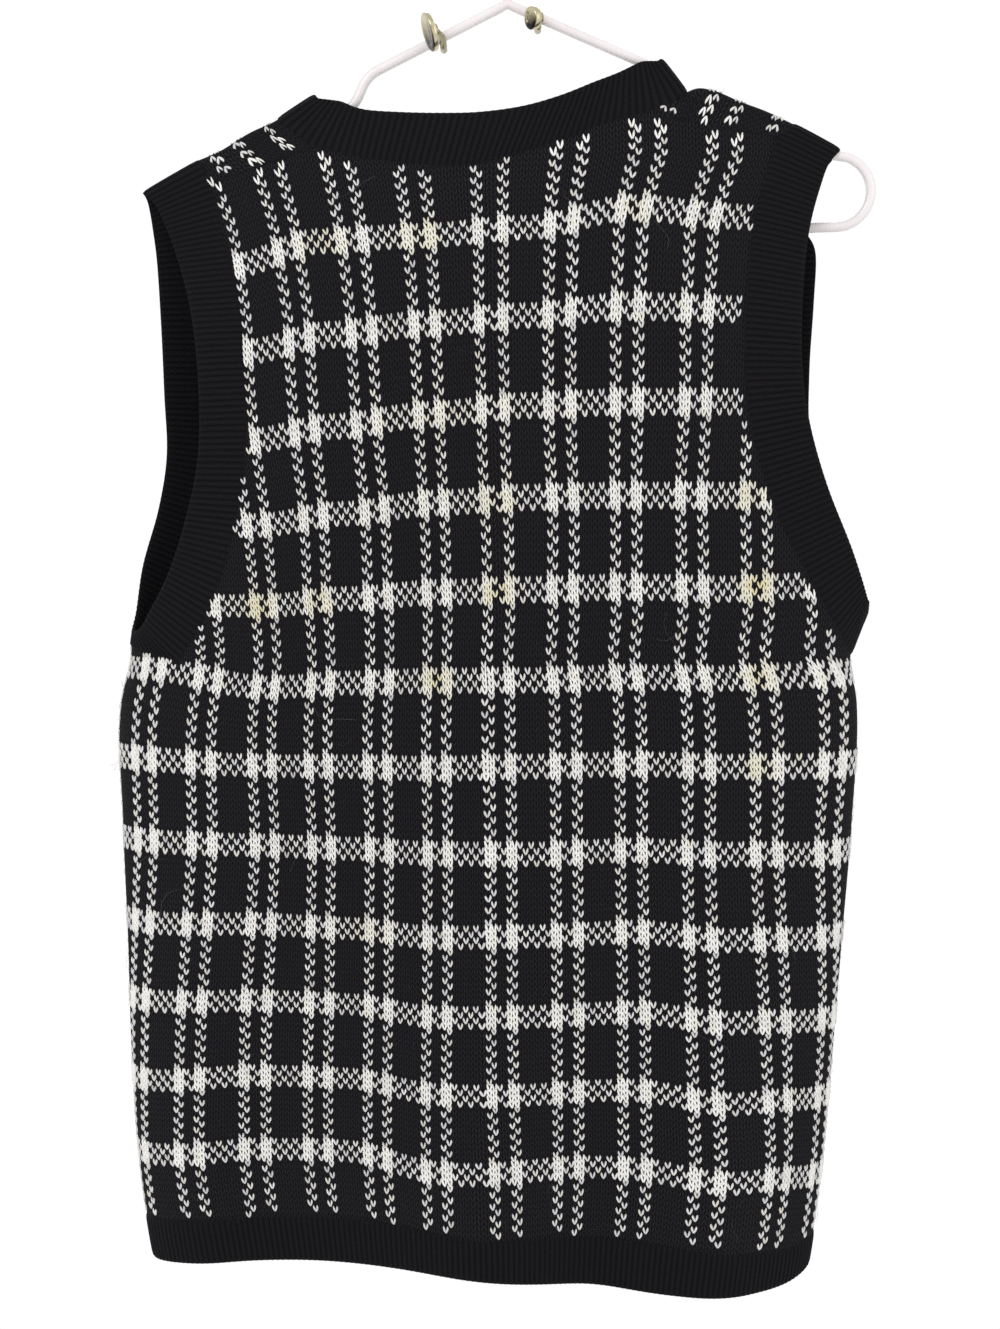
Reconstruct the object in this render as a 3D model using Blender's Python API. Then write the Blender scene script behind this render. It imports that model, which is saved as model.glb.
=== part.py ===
# A knitted sweater vest on a tubular hanger, seen with its back towards -Y.
# The origin is where the hanger's hook rests on a rail.
# +Z is up, +Y points from the back of the vest to its front.
# Sizes in the tables are millimetres; MM turns them into Blender's metres.

import math

import bpy
import numpy as np

MM = 0.001

# Cloth
PANEL_WALL = 2.0
HEM_WALL = 2.6
NECKBAND_WALL = 2.8
ARMBAND_WALL = 2.6
RIB_RISE = 0.7
HEM_RIB_PITCH = 3.2
NECK_RIB_PITCH = 3.8
ARM_RIB_PITCH = 3.4
SEAM_PULL = 0.22
SECTION_POWER = 2.35
RIDGE_RADIUS = 5.0
RIDGE_START_DEG = 20.0
TAPER_DROP = 140.0
SIDE_LEVEL = -445.0
SHARP_DEG = 50.0
LEAST_REACH = 0.35

# Cells of the panels
SHOULDER_CELLS = 3
NECK_CELLS = 12
FRONT_CELLS = 18
BIND_OFF_CELLS = 2
UPPER_ROWS = 13
LOWER_ROWS = 13
V_ROW = 5
WRAP_ROWS = 2
RIDGE_ANGLES_DEG = (20.0, 55.0, 90.0, 125.0, 160.0)
RUN_STEPS = 81
TWIST_STEP = 0.25

# The tube of the garment: its left and right side, and how far its back and front bulge
# from the hanger's plane.
SECTION_COLUMNS = ("z", "left", "right", "back", "front")
SECTIONS = (
    (-806.0, -201.5, 176.5, 48.0, 44.0),
    (-752.0, -209.5, 184.0, 52.0, 47.0),
    (-681.0, -214.5, 190.0, 54.0, 49.0),
    (-610.0, -216.0, 195.0, 56.0, 50.0),
    (-540.0, -218.0, 200.0, 57.0, 51.0),
    (-471.0, -218.0, 202.0, 57.0, 51.0),
    (-442.0, -212.0, 198.5, 56.0, 50.0),
    (-417.0, -216.0, 209.5, 54.0, 48.0),
    (-390.0, -218.0, 212.0, 52.0, 46.0),
    (-330.0, -222.0, 212.0, 49.0, 43.0),
    (-250.0, -222.0, 210.0, 44.0, 39.0),
    (-180.0, -222.0, 209.0, 36.0, 32.0),
    (-100.0, -222.0, 209.0, 24.0, 22.0),
)

# The line where the shoulders fold over the hanger. Over the neck it only guides how the neckband leans.
RIDGE_COLUMNS = ("x", "z")
RIDGE = (
    (-222.0, -200.0), (-201.3, -187.6), (-190.0, -178.8), (-182.6, -175.9), (-171.0, -171.0),
    (-158.0, -165.5), (-139.0, -154.3), (-127.0, -149.0), (-103.0, -133.5), (-60.0, -117.0),
    (-10.0, -106.0), (40.0, -102.0), (70.0, -105.5), (85.0, -112.6), (93.0, -122.5), (101.0, -132.6),
    (111.0, -130.8), (118.0, -132.3), (131.0, -137.7), (146.0, -143.2), (162.0, -150.6),
    (172.0, -154.5), (189.0, -163.0), (212.0, -175.0),
)

# Armhole seams and the free edges of their bands, from the shoulder seam down to the underarm corner.
ARMHOLE_COLUMNS = ("seam_x", "seam_z", "edge_x", "edge_z")
ARMHOLE_BACK_LEFT = (
    (-164.2, -179.0, -195.0, -192.0), (-153.0, -213.0, -184.0, -217.0), (-142.0, -252.0, -173.5, -253.0),
    (-137.3, -293.0, -168.5, -294.0), (-138.0, -333.0, -169.0, -333.0), (-145.0, -369.0, -176.0, -366.0),
    (-159.0, -411.0, -187.0, -398.0), (-181.0, -447.0, -203.0, -427.0),
)
ARMHOLE_FRONT_LEFT = (
    (-168.0, -184.0, -200.5, -197.0), (-167.0, -216.0, -198.2, -220.0), (-167.0, -255.0, -197.2, -256.0),
    (-166.5, -296.0, -196.6, -296.0), (-168.0, -334.0, -195.8, -330.0), (-175.0, -370.0, -200.5, -361.0),
    (-187.0, -405.0, -209.0, -394.0), (-203.0, -436.0, -212.5, -424.0),
)
ARMHOLE_BACK_RIGHT = (
    (153.6, -154.2, 182.5, -168.0), (141.0, -197.0, 171.5, -204.0), (134.3, -240.0, 166.3, -244.0),
    (132.9, -282.0, 165.6, -282.0), (137.5, -321.0, 170.0, -314.0), (150.0, -361.0, 180.5, -349.0),
    (169.0, -398.0, 195.5, -384.0), (193.0, -438.0, 207.0, -415.0),
)
ARMHOLE_FRONT_RIGHT = (
    (155.5, -166.0, 180.0, -172.0), (152.8, -186.0, 170.5, -186.0), (151.6, -199.0, 168.0, -199.5),
    (151.0, -211.0, 179.0, -210.5), (149.6, -243.0, 179.4, -243.0), (148.8, -285.0, 178.0, -284.0),
    (152.0, -330.0, 179.8, -322.0), (164.0, -378.0, 195.5, -368.0), (191.0, -436.0, 209.0, -414.0),
)
UNDERARM_COLUMNS = ("seam_z", "edge_x", "edge_z")
UNDERARM_LEFT = (-439.0, -211.5, -431.0)
UNDERARM_RIGHT = (-445.0, 212.0, -418.0)

# Where the armhole seams and the neck seam cross the ridge, and where the neckband's free edge does.
RIDGE_ARM_SEAM_X = (-169.0, 161.0)
RIDGE_ARM_EDGE_X = (-201.3, 189.0)
RIDGE_NECK_SEAM_X = (-124.5, 101.5)
RIDGE_NECK_EDGE_X = (-103.0, 85.0)

NECK_COLUMNS = ("x", "z")
NECK_SEAM = (
    (-105.0, -161.0), (-92.0, -163.5), (-80.0, -166.8), (-57.0, -170.0), (-31.0, -172.4), (-6.0, -169.7),
    (20.0, -161.8), (39.0, -155.3), (58.0, -147.5), (80.0, -141.5),
)
NECK_EDGE = (
    (-91.0, -133.5), (-78.0, -138.6), (-57.0, -140.6), (-35.0, -141.4), (-13.0, -141.0), (11.0, -137.7),
    (32.0, -131.5), (50.0, -124.0), (64.0, -118.3), (77.0, -111.5),
)
V_SEAM_POINT = (-8.0, -345.0)
V_EDGE_POINT = (-8.0, -283.0)
V_BOW = 6.0

# The rows where the panels meet the hem ribs, and the lowest edge.
HEM_COLUMNS = ("x", "seam_z", "edge_z")
HEM_BACK = (
    (-206.0, -770.0, -795.5), (-175.0, -766.0, -791.5), (-120.0, -763.0, -789.0), (-70.0, -762.5, -788.5),
    (-20.0, -766.5, -790.0), (40.0, -770.5, -798.5), (95.0, -774.5, -803.5), (140.0, -782.0, -806.0),
    (165.0, -784.0, -804.0), (180.0, -780.0, -799.0),
)
HEM_FRONT = (
    (-206.0, -770.0, -795.5), (-130.0, -765.0, -791.0), (-20.0, -766.0, -792.0), (90.0, -772.0, -797.0),
    (150.0, -778.0, -800.0), (180.0, -780.0, -799.0),
)

# Soft hanging folds, which fade upwards.
FOLD_COLUMNS = ("x", "half_width", "depth", "top_z")
FOLDS_BACK = (
    (-118.0, 58.0, -15.0, -520.0), (-14.0, 36.0, 13.0, -560.0), (50.0, 26.0, -8.0, -600.0),
    (124.0, 38.0, 12.0, -540.0), (-172.0, 20.0, 5.0, -470.0),
)
FOLDS_FRONT = (
    (-130.0, 44.0, 11.0, -520.0), (-62.0, 38.0, -11.0, -540.0), (18.0, 44.0, 12.0, -500.0),
    (88.0, 32.0, -9.0, -580.0), (140.0, 26.0, 8.0, -540.0),
)

# Hanger
TUBE_RADIUS = 2.9
TUBE_SIDES = 10
HANGER_TILT_DEG = 1.8
HOOK_RADIUS = 21.0
APEX_DROP = 79.2
APEX_RISE = 0.6
ARM_END = (80.0, -36.5)
NOTCH_END = (88.5, -54.0)
SHOULDER_END = (176.0, -88.0)
END_RADIUS = 20.0
BAR_DROP = 129.0
LEFT_END_INSET = 9.0
HOOK_TIP_DEG = -35.0
HOOK_START_DEG = 22.0
HOOK_NECK = 12.0
HOOK_FOOT_Z = -75.1
HOOK_STEPS = 14
CORNER_RADIUS = 7.0
END_OVERHANG = 6.0
END_FROM_DEG = 70.0
END_STEPS = 6
PEG_GAP = 0.35

# Pegs that hold the hanger: a round stem below each arm, bent in front of it to a flat head
# that stands nearly edge-on.
PEG_COLUMNS = (
    "stem_x", "head_x", "head_y", "head_z", "head_radius", "head_thickness", "turn_deg", "roll_deg",
)
PEG_LEFT = (-33.5, -40.7, -15.0, -97.4, 10.8, 3.4, -78.0, 18.0)
PEG_RIGHT = (19.5, 16.6, -11.5, -89.0, 6.4, 4.4, -60.0, 8.0)
PEG_STEM_RADIUS = 2.0
PEG_NECK_RADIUS = 3.6
PEG_STEM_LENGTH = 8.0
PEG_NECK_REACH = 2.6
PEG_EDGE = 0.7
PEG_BACK_STEP = 0.1
PEG_BACK_INSET = 1.0
PEG_FACE_INSET = 1.2
PEG_SIDES = 20


def table(rows, columns):
    values = np.array(rows, float)
    return {name: values[:, i] for i, name in enumerate(columns)}


def smooth(knots, values, where):
    """A smooth curve through the knots, flat past its ends."""
    runs = np.diff(knots)
    rises = np.diff(values) / runs
    middle = (rises[1:] * runs[:-1] + rises[:-1] * runs[1:]) / (runs[1:] + runs[:-1])
    slopes = np.concatenate([rises[:1], middle, rises[-1:]])
    where = np.clip(where, knots[0], knots[-1])
    i = np.clip(np.searchsorted(knots, where) - 1, 0, len(knots) - 2)
    span = knots[i + 1] - knots[i]
    t = (where - knots[i]) / span
    return (
        (2 * t**3 - 3 * t**2 + 1) * values[i]
        + (t**3 - 2 * t**2 + t) * span * slopes[i]
        + (3 * t**2 - 2 * t**3) * values[i + 1]
        + (t**3 - t**2) * span * slopes[i + 1]
    )


SECTION = table(SECTIONS, SECTION_COLUMNS)
RIDGE_LINE = table(RIDGE, RIDGE_COLUMNS)
FOLDS = {"back": table(FOLDS_BACK, FOLD_COLUMNS), "front": table(FOLDS_FRONT, FOLD_COLUMNS)}
HEM = {"back": table(HEM_BACK, HEM_COLUMNS), "front": table(HEM_FRONT, HEM_COLUMNS)}
ARMHOLE = {
    ("back", "left"): table(ARMHOLE_BACK_LEFT, ARMHOLE_COLUMNS),
    ("front", "left"): table(ARMHOLE_FRONT_LEFT, ARMHOLE_COLUMNS),
    ("back", "right"): table(ARMHOLE_BACK_RIGHT, ARMHOLE_COLUMNS),
    ("front", "right"): table(ARMHOLE_FRONT_RIGHT, ARMHOLE_COLUMNS),
}
UNDERARM = {
    "left": dict(zip(UNDERARM_COLUMNS, UNDERARM_LEFT)),
    "right": dict(zip(UNDERARM_COLUMNS, UNDERARM_RIGHT)),
}
SIDES = ("left", "right")
LOWEST = -806.0


# ---- the cloth's surface ----


def section_at(z):
    return {name: float(smooth(SECTION["z"], SECTION[name], z)) for name in SECTION_COLUMNS[1:]}


def ridge_height(x):
    return smooth(RIDGE_LINE["x"], RIDGE_LINE["z"], x)


def fold_depth(face, x, z):
    folds = FOLDS[face]
    rise = np.clip((folds["top_z"] - z) / (folds["top_z"] - LOWEST), 0.0, 1.0)
    rise = rise * rise * (3.0 - 2.0 * rise)
    away = (np.asarray(x)[..., None] - folds["x"]) / folds["half_width"]
    return np.sum(folds["depth"] * rise * np.exp(-(away**2)), axis=-1)


def section_points(face, turns, z):
    """Points of the wall's middle. A turn is -90 degrees at the left side seam and 90 at the right one."""
    section = section_at(z)
    power = 2.0 / SECTION_POWER
    sines, out = np.sin(turns), np.abs(np.cos(turns)) ** power
    across = np.sign(sines) * np.abs(sines) ** power
    x = (section["left"] + section["right"]) / 2 + across * (section["right"] - section["left"]) / 2
    depth = (section[face] + fold_depth(face, x, z)) * out
    start = RIDGE_RADIUS * math.cos(math.radians(RIDGE_START_DEG))
    drop = ridge_height(x) + RIDGE_RADIUS * math.sin(math.radians(RIDGE_START_DEG)) - z
    taper = np.sin(np.clip(drop / TAPER_DROP, 0.0, 1.0) * math.pi / 2)
    depth = start + (depth - start) * taper
    side = -1.0 if face == "back" else 1.0
    return np.stack([x, side * depth, np.full_like(x, z)], axis=-1)


def turn_of(x, z):
    section = section_at(z)
    across = (2.0 * x - section["left"] - section["right"]) / (section["right"] - section["left"])
    across = min(max(across, -1.0), 1.0)
    return math.asin(math.copysign(abs(across) ** (SECTION_POWER / 2.0), across))


def cloth_at(face, x, z):
    """A point of the wall's middle and the way out of the garment there."""
    turn = turn_of(x, z)
    step, drop = 0.02, 2.0
    turns = np.clip(np.array([turn - step, turn, turn + step]), -math.pi / 2, math.pi / 2)
    ring = section_points(face, turns, z)
    below = section_points(face, turns[1:2], z - drop)[0]
    out = np.cross(ring[2] - ring[0], ring[1] - below)
    if face == "front":
        out = -out
    if abs(turn) > math.pi / 2 - step:
        out = np.array([math.copysign(1.0, turn), 0.0, 0.0])
    return ring[1], out / np.linalg.norm(out)


def cloth_run(face, z):
    """x and the length along the cloth from the left side seam, at one height."""
    points = section_points(face, np.linspace(-math.pi / 2, math.pi / 2, RUN_STEPS), z)
    lengths = np.linalg.norm(np.diff(points, axis=0), axis=1)
    return points[:, 0], np.concatenate([[0.0], np.cumsum(lengths)])


def x_across(face, z, share):
    """x at a share of the way from the left side seam to the right one, measured along the cloth."""
    x, run = cloth_run(face, z)
    return float(np.interp(share * run[-1], run, x))


def share_across(face, x, z):
    xs, run = cloth_run(face, z)
    return float(np.interp(x, xs, run) / run[-1])


def ridge_point(x, degrees):
    """A point of the fold over the hanger; 0 degrees faces the back and 180 the front."""
    reach = 1.0
    slope = math.atan2(ridge_height(x + reach) - ridge_height(x - reach), 2 * reach)
    above = np.array([-math.sin(slope), 0.0, math.cos(slope)])
    angle = math.radians(degrees)
    out = math.sin(angle) * above - math.cos(angle) * np.array([0.0, 1.0, 0.0])
    return np.array([x, 0.0, ridge_height(x)]) + RIDGE_RADIUS * out, out


# ---- seam lines, each a list of (point, way out) ----


def along(rows, name_x, name_z, share):
    """A point at a share of a table's line, with its rows evenly spaced."""
    knots = np.linspace(0.0, 1.0, len(rows[name_x]))
    return float(smooth(knots, rows[name_x], share)), float(smooth(knots, rows[name_z], share))


def armhole_seam(face, side):
    """From the underarm corner up to the shoulder."""
    rows = ARMHOLE[face, side]
    return [along(rows, "seam_x", "seam_z", 1.0 - j / UPPER_ROWS) for j in range(UPPER_ROWS + 1)]


def armhole_edge(face, side):
    rows = ARMHOLE[face, side]
    return [along(rows, "edge_x", "edge_z", 1.0 - j / UPPER_ROWS) for j in range(UPPER_ROWS + 1)]


def neck_line(rows, share):
    line = table(rows, NECK_COLUMNS)
    return along(line, "x", "z", share)


def between(a, b, share):
    return tuple(p + (q - p) * share for p, q in zip(a, b))


def v_line(side, foot, ridge_x, share):
    """From the V's foot up to the ridge, slightly bowed."""
    x, z = between(foot, (ridge_x, ridge_height(ridge_x)), share)
    bow = V_BOW * math.sin(math.pi * share)
    return (x - bow, z) if side == "left" else (x + bow, z)


def pit_height(face, x):
    """The row where the armholes begin, lifted at the sides."""
    left, right = (ARMHOLE[face, side] for side in SIDES)
    left_side, right_side = section_at(left["seam_z"][-1])["left"], section_at(SIDE_LEVEL)["right"]
    xs = [left_side, left["seam_x"][-1], right["seam_x"][-1], right_side]
    side_heights = [UNDERARM[side]["seam_z"] for side in SIDES]
    heights = [side_heights[0], left["seam_z"][-1], right["seam_z"][-1], side_heights[1]]
    return float(np.interp(x, xs, heights))


# ---- walls ----


class Surface:
    """Named points with their way out, and the quads between them."""

    def __init__(self):
        self.index, self.points, self.outs, self.quads = {}, [], [], []

    def add(self, key, point, out):
        self.index[key] = len(self.points)
        self.points.append(np.array(point, float))
        self.outs.append(np.array(out, float))

    def quad(self, *keys):
        self.quads.append([self.index[k] for k in keys])

    def boundary(self):
        seen = {}
        for quad in self.quads:
            for a, b in zip(quad, quad[1:] + quad[:1]):
                seen[a, b] = True
        return [(a, b) for a, b in seen if (b, a) not in seen]

    def pull_in(self, distance):
        """Draws the boundary into the piece, so that it stays clear of its neighbours."""
        edges = self.boundary()
        moves = {}
        for a, b in edges:
            run = self.points[b] - self.points[a]
            run /= np.linalg.norm(run)
            for i in (a, b):
                inward = np.cross(self.outs[i], run)
                moves.setdefault(i, []).append(inward / np.linalg.norm(inward))
        for i, inwards in moves.items():
            total = np.sum(inwards, axis=0)
            total /= np.linalg.norm(total)
            reach = max(min(float(np.dot(total, inwards[0])), 1.0), LEAST_REACH)
            self.points[i] = self.points[i] + total * distance / reach


def build_object(name, points, faces, material):
    mesh = bpy.data.meshes.new(name)
    mesh.from_pydata([tuple(p * MM) for p in points], [], [tuple(f) for f in faces])
    mesh.validate()
    mesh.materials.append(material)
    piece = bpy.data.objects.new(name, mesh)
    bpy.context.scene.collection.objects.link(piece)
    mesh.shade_smooth()
    mesh.set_sharp_from_angle(angle=math.radians(SHARP_DEG))
    return piece


def halves(points, quad):
    """A quad as two triangles, cut along its shorter diagonal."""
    a, b, c, d = quad
    if np.linalg.norm(points[a] - points[c]) < np.linalg.norm(points[b] - points[d]):
        return [[a, b, c], [a, c, d]]
    return [[a, b, d], [b, c, d]]


def wall(name, surface, thickness, material):
    """A closed solid, half of its thickness on either side of the surface."""
    surface.pull_in(SEAM_PULL)
    points, outs = np.array(surface.points), np.array(surface.outs)
    count = len(points)
    both = np.vstack([points + outs * thickness / 2, points - outs * thickness / 2])
    faces = [half for quad in surface.quads for half in halves(points, quad)]
    faces += [[i + count for i in reversed(face)] for face in faces]
    faces += [[b, a, a + count, b + count] for a, b in surface.boundary()]
    return build_object(name, both, faces, material)


def seam_side(rows, inner, line):
    """Triangles that close one side of a span of ribs, between its outer points and the plain inside."""
    steps, spans = len(rows) - 1, len(inner) - 1
    faces, k = [], 0
    for span in range(spans):
        end = round((span + 1) * steps / spans)
        middle = (k + end) // 2
        near, far = inner[span][line], inner[span + 1][line]
        faces += [[rows[i][line], near, rows[i + 1][line]] for i in range(k, middle)]
        faces.append([rows[middle][line], near, far])
        faces += [[rows[i][line], far, rows[i + 1][line]] for i in range(middle, end)]
        k = end
    return faces if line == 0 else [list(reversed(face)) for face in faces]


def ribbed_band(name, stations, closed, thickness, pitch, material):
    """A strip between a seam and a free edge. Ribs are raised in its outer points, over a plain inside.
    stations holds (seam point, its way out, edge point, its way out)."""
    pulled = []
    for seam, seam_out, edge, edge_out in stations:
        across = (edge - seam) / np.linalg.norm(edge - seam)
        pulled.append((seam + SEAM_PULL * across, seam_out, edge, edge_out))
    if closed:
        pulled.append(pulled[0])
    points, faces = [], []

    def pair(a, b, share, lift):
        """The seam point and the edge point at a share of the way between two stations."""
        made = []
        for k in (0, 2):
            out = a[k + 1] * (1 - share) + b[k + 1] * share
            made.append(len(points))
            points.append(a[k] * (1 - share) + b[k] * share + out / np.linalg.norm(out) * lift)
        return made

    low, high = (thickness - RIB_RISE) / 2, (thickness + RIB_RISE) / 2
    first_outer = pair(pulled[0], pulled[0], 0.0, low)
    first_inner = pair(pulled[0], pulled[0], 0.0, -thickness / 2)
    outer_start, inner_start = first_outer, first_inner
    for number, (a, b) in enumerate(zip(pulled, pulled[1:])):
        ribs = max(1, round(np.linalg.norm((b[0] + b[2] - a[0] - a[2]) / 2) / pitch))
        twist = np.linalg.norm(a[0] + b[2] - a[2] - b[0]) / 4
        spans = min(ribs, 1 + int(twist / TWIST_STEP))
        rows = [outer_start]
        rows += [pair(a, b, k / (2 * ribs), high if k % 2 else low) for k in range(1, 2 * ribs)]
        inner = [inner_start] + [pair(a, b, k / spans, -thickness / 2) for k in range(1, spans)]
        ends_here = closed and number == len(pulled) - 2
        rows.append(first_outer if ends_here else pair(b, b, 0.0, low))
        inner.append(first_inner if ends_here else pair(b, b, 0.0, -thickness / 2))
        faces += [[here[0], there[0], there[1], here[1]] for here, there in zip(rows, rows[1:])]
        faces += [[here[0], here[1], there[1], there[0]] for here, there in zip(inner, inner[1:])]
        faces += seam_side(rows, inner, 0) + seam_side(rows, inner, 1)
        outer_start, inner_start = rows[-1], inner[-1]
    if not closed:
        faces.append([first_outer[0], first_outer[1], first_inner[1], first_inner[0]])
        faces.append([outer_start[1], outer_start[0], inner_start[0], inner_start[1]])
    return build_object(name, points, faces, material)


# ---- panels ----


def lower_part(surface, face, shares):
    """The tube below the armholes. Row 0 is the pit row and the last row is the hem seam."""
    hem = HEM[face]
    for row in range(LOWER_ROWS + 1):
        down = row / LOWER_ROWS
        for column, share in enumerate(shares):
            x = x_across(face, SIDE_LEVEL, share)
            z = pit_height(face, x)
            for _ in range(3):
                hem_z = float(smooth(hem["x"], hem["seam_z"], x))
                z = pit_height(face, x_across(face, SIDE_LEVEL, share)) * (1 - down) + hem_z * down
                x = x_across(face, z, share)
            surface.add(("low", row, column), *cloth_at(face, x, z))
    last = len(shares) - 1
    for row in range(LOWER_ROWS):
        for column in range(last):
            below = [("low", row + 1, column), ("low", row + 1, column + 1)]
            corners = below + [("low", row, column + 1), ("low", row, column)]
            surface.quad(*(corners if face == "back" else reversed(corners)))


def pit_shares(face, cells):
    """Shares of the pit row's points, from side seam over both bind-offs to side seam."""
    corners = []
    for side in SIDES:
        rows = ARMHOLE[face, side]
        corners.append(share_across(face, rows["seam_x"][-1], rows["seam_z"][-1]))
    left = np.linspace(0.0, corners[0], BIND_OFF_CELLS + 1)[:-1]
    middle = np.linspace(corners[0], corners[1], cells + 1)
    right = np.linspace(corners[1], 1.0, BIND_OFF_CELLS + 1)[1:]
    return list(left) + list(middle) + list(right)


def back_panel(material):
    cells = 2 * SHOULDER_CELLS + NECK_CELLS
    surface = Surface()
    lower_part(surface, "back", pit_shares("back", cells))
    seams = [armhole_seam("back", side) for side in SIDES]
    start, end = seams[0][-1], seams[1][-1]
    neck_start, neck_end = neck_line(NECK_SEAM, 0.0), neck_line(NECK_SEAM, 1.0)
    top = [between(start, neck_start, k / SHOULDER_CELLS) for k in range(SHOULDER_CELLS)]
    top += [neck_line(NECK_SEAM, k / NECK_CELLS) for k in range(NECK_CELLS)]
    top += [between(neck_end, end, k / SHOULDER_CELLS) for k in range(SHOULDER_CELLS + 1)]
    for row in range(1, UPPER_ROWS + 1):
        (left_x, left_z), (right_x, right_z) = seams[0][row], seams[1][row]
        rises = [
            (seams[s][row][1] - seams[s][0][1]) / (seams[s][-1][1] - seams[s][0][1]) for s in (0, 1)
        ]
        for column in range(cells + 1):
            even = column / cells
            spread = (top[column][0] - start[0]) / (end[0] - start[0])
            rise = rises[0] + (rises[1] - rises[0]) * even
            share = even + (spread - even) * rise
            x = left_x + (right_x - left_x) * share
            pit = seams[0][0][1] + (seams[1][0][1] - seams[0][0][1]) * even
            z = pit + (top[column][1] - pit) * rise
            if row == UPPER_ROWS:
                x, z = top[column]
            surface.add(("up", row, column), *cloth_at("back", x, z))
    for column in range(cells):
        low = column + BIND_OFF_CELLS
        surface.quad(("low", 0, low), ("low", 0, low + 1), ("up", 1, column + 1), ("up", 1, column))
        for row in range(1, UPPER_ROWS):
            below = [("up", row, column), ("up", row, column + 1)]
            surface.quad(*below, ("up", row + 1, column + 1), ("up", row + 1, column))
    points, outs = surface.points, surface.outs
    seam_points = {key: (points[i].copy(), outs[i].copy()) for key, i in surface.index.items()}
    wall("back_panel", surface, PANEL_WALL, material)
    return seam_points


def front_rows(side):
    """Rows of the front's upper half beside the V: (armhole end, neck end) of each."""
    s = SIDES.index(side)
    arm = armhole_seam("front", side)
    rows = []
    for row in range(V_ROW, UPPER_ROWS + 1):
        share = (row - V_ROW) / (UPPER_ROWS + 1 - V_ROW)
        rows.append((arm[row], v_line(side, V_SEAM_POINT, RIDGE_NECK_SEAM_X[s], share)))
    return rows


def front_panel(material):
    """The front, with its shoulders folded over the hanger to seams on the back."""
    surface = Surface()
    lower_part(surface, "front", pit_shares("front", FRONT_CELLS))
    seams = [armhole_seam("front", side) for side in SIDES]
    half = FRONT_CELLS // 2
    for row in range(1, V_ROW + 1):
        up = row / V_ROW
        for column in range(FRONT_CELLS + 1):
            even = column / FRONT_CELLS
            x, z = between(seams[0][row], seams[1][row], even)
            pull = 1.0 - abs(column - half) / half
            target = V_SEAM_POINT[0] + (seams[0][row][0] - V_SEAM_POINT[0]) * (1 - column / half)
            if column > half:
                target = V_SEAM_POINT[0] + (seams[1][row][0] - V_SEAM_POINT[0]) * (column - half) / half
            x = x + (target - x) * up
            flat = between(seams[0][V_ROW], seams[1][V_ROW], 0.5)[1]
            z = z + (V_SEAM_POINT[1] - flat) * up * pull
            surface.add(("up", row, column), *cloth_at("front", x, z))
    for column in range(FRONT_CELLS):
        low = column + BIND_OFF_CELLS
        surface.quad(("low", 0, low + 1), ("low", 0, low), ("up", 1, column), ("up", 1, column + 1))
        for row in range(1, V_ROW):
            below = [("up", row, column + 1), ("up", row, column)]
            surface.quad(*below, ("up", row + 1, column), ("up", row + 1, column + 1))
    for side in SIDES:
        s = SIDES.index(side)
        last_key = {}
        for column in range(half + 1):
            last_key[column] = ("up", V_ROW, column if side == "left" else FRONT_CELLS - column)
        layers = []
        for row, (arm, neck) in enumerate(front_rows(side)):
            if row:
                layers.append([cloth_at("front", *between(arm, neck, c / half)) for c in range(half + 1)])
        for degrees in reversed(RIDGE_ANGLES_DEG):
            width = RIDGE_NECK_SEAM_X[s] - RIDGE_ARM_SEAM_X[s]
            xs = [RIDGE_ARM_SEAM_X[s] + width * c / half for c in range(half + 1)]
            layers.append([ridge_point(x, degrees) for x in xs])
        seam_ends = (armhole_seam("back", side)[-1], neck_line(NECK_SEAM, float(s)))
        for step in range(1, WRAP_ROWS + 1):
            down = step / WRAP_ROWS
            layer = []
            for c in range(half + 1):
                top_x = RIDGE_ARM_SEAM_X[s] + (RIDGE_NECK_SEAM_X[s] - RIDGE_ARM_SEAM_X[s]) * c / half
                top = (top_x, ridge_height(top_x) + RIDGE_RADIUS * math.sin(math.radians(RIDGE_START_DEG)))
                layer.append(cloth_at("back", *between(top, between(*seam_ends, c / half), down)))
            layers.append(layer)
        for number, layer in enumerate(layers):
            for column, (point, out) in enumerate(layer):
                surface.add((side, number, column), point, out)
            for column in range(half):
                lower = (last_key[column], last_key[column + 1])
                upper = ((side, number, column), (side, number, column + 1))
                corners = (lower[1], lower[0], upper[0], upper[1])
                surface.quad(*(corners if side == "left" else reversed(corners)))
            last_key = {column: (side, number, column) for column in range(half + 1)}
    points, outs = surface.points, surface.outs
    seam_points = {key: (points[i].copy(), outs[i].copy()) for key, i in surface.index.items()}
    wall("front_panel", surface, PANEL_WALL, material)
    return seam_points


# ---- bands ----


def front_layer_count():
    return (UPPER_ROWS - V_ROW) + len(RIDGE_ANGLES_DEG) + WRAP_ROWS


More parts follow.
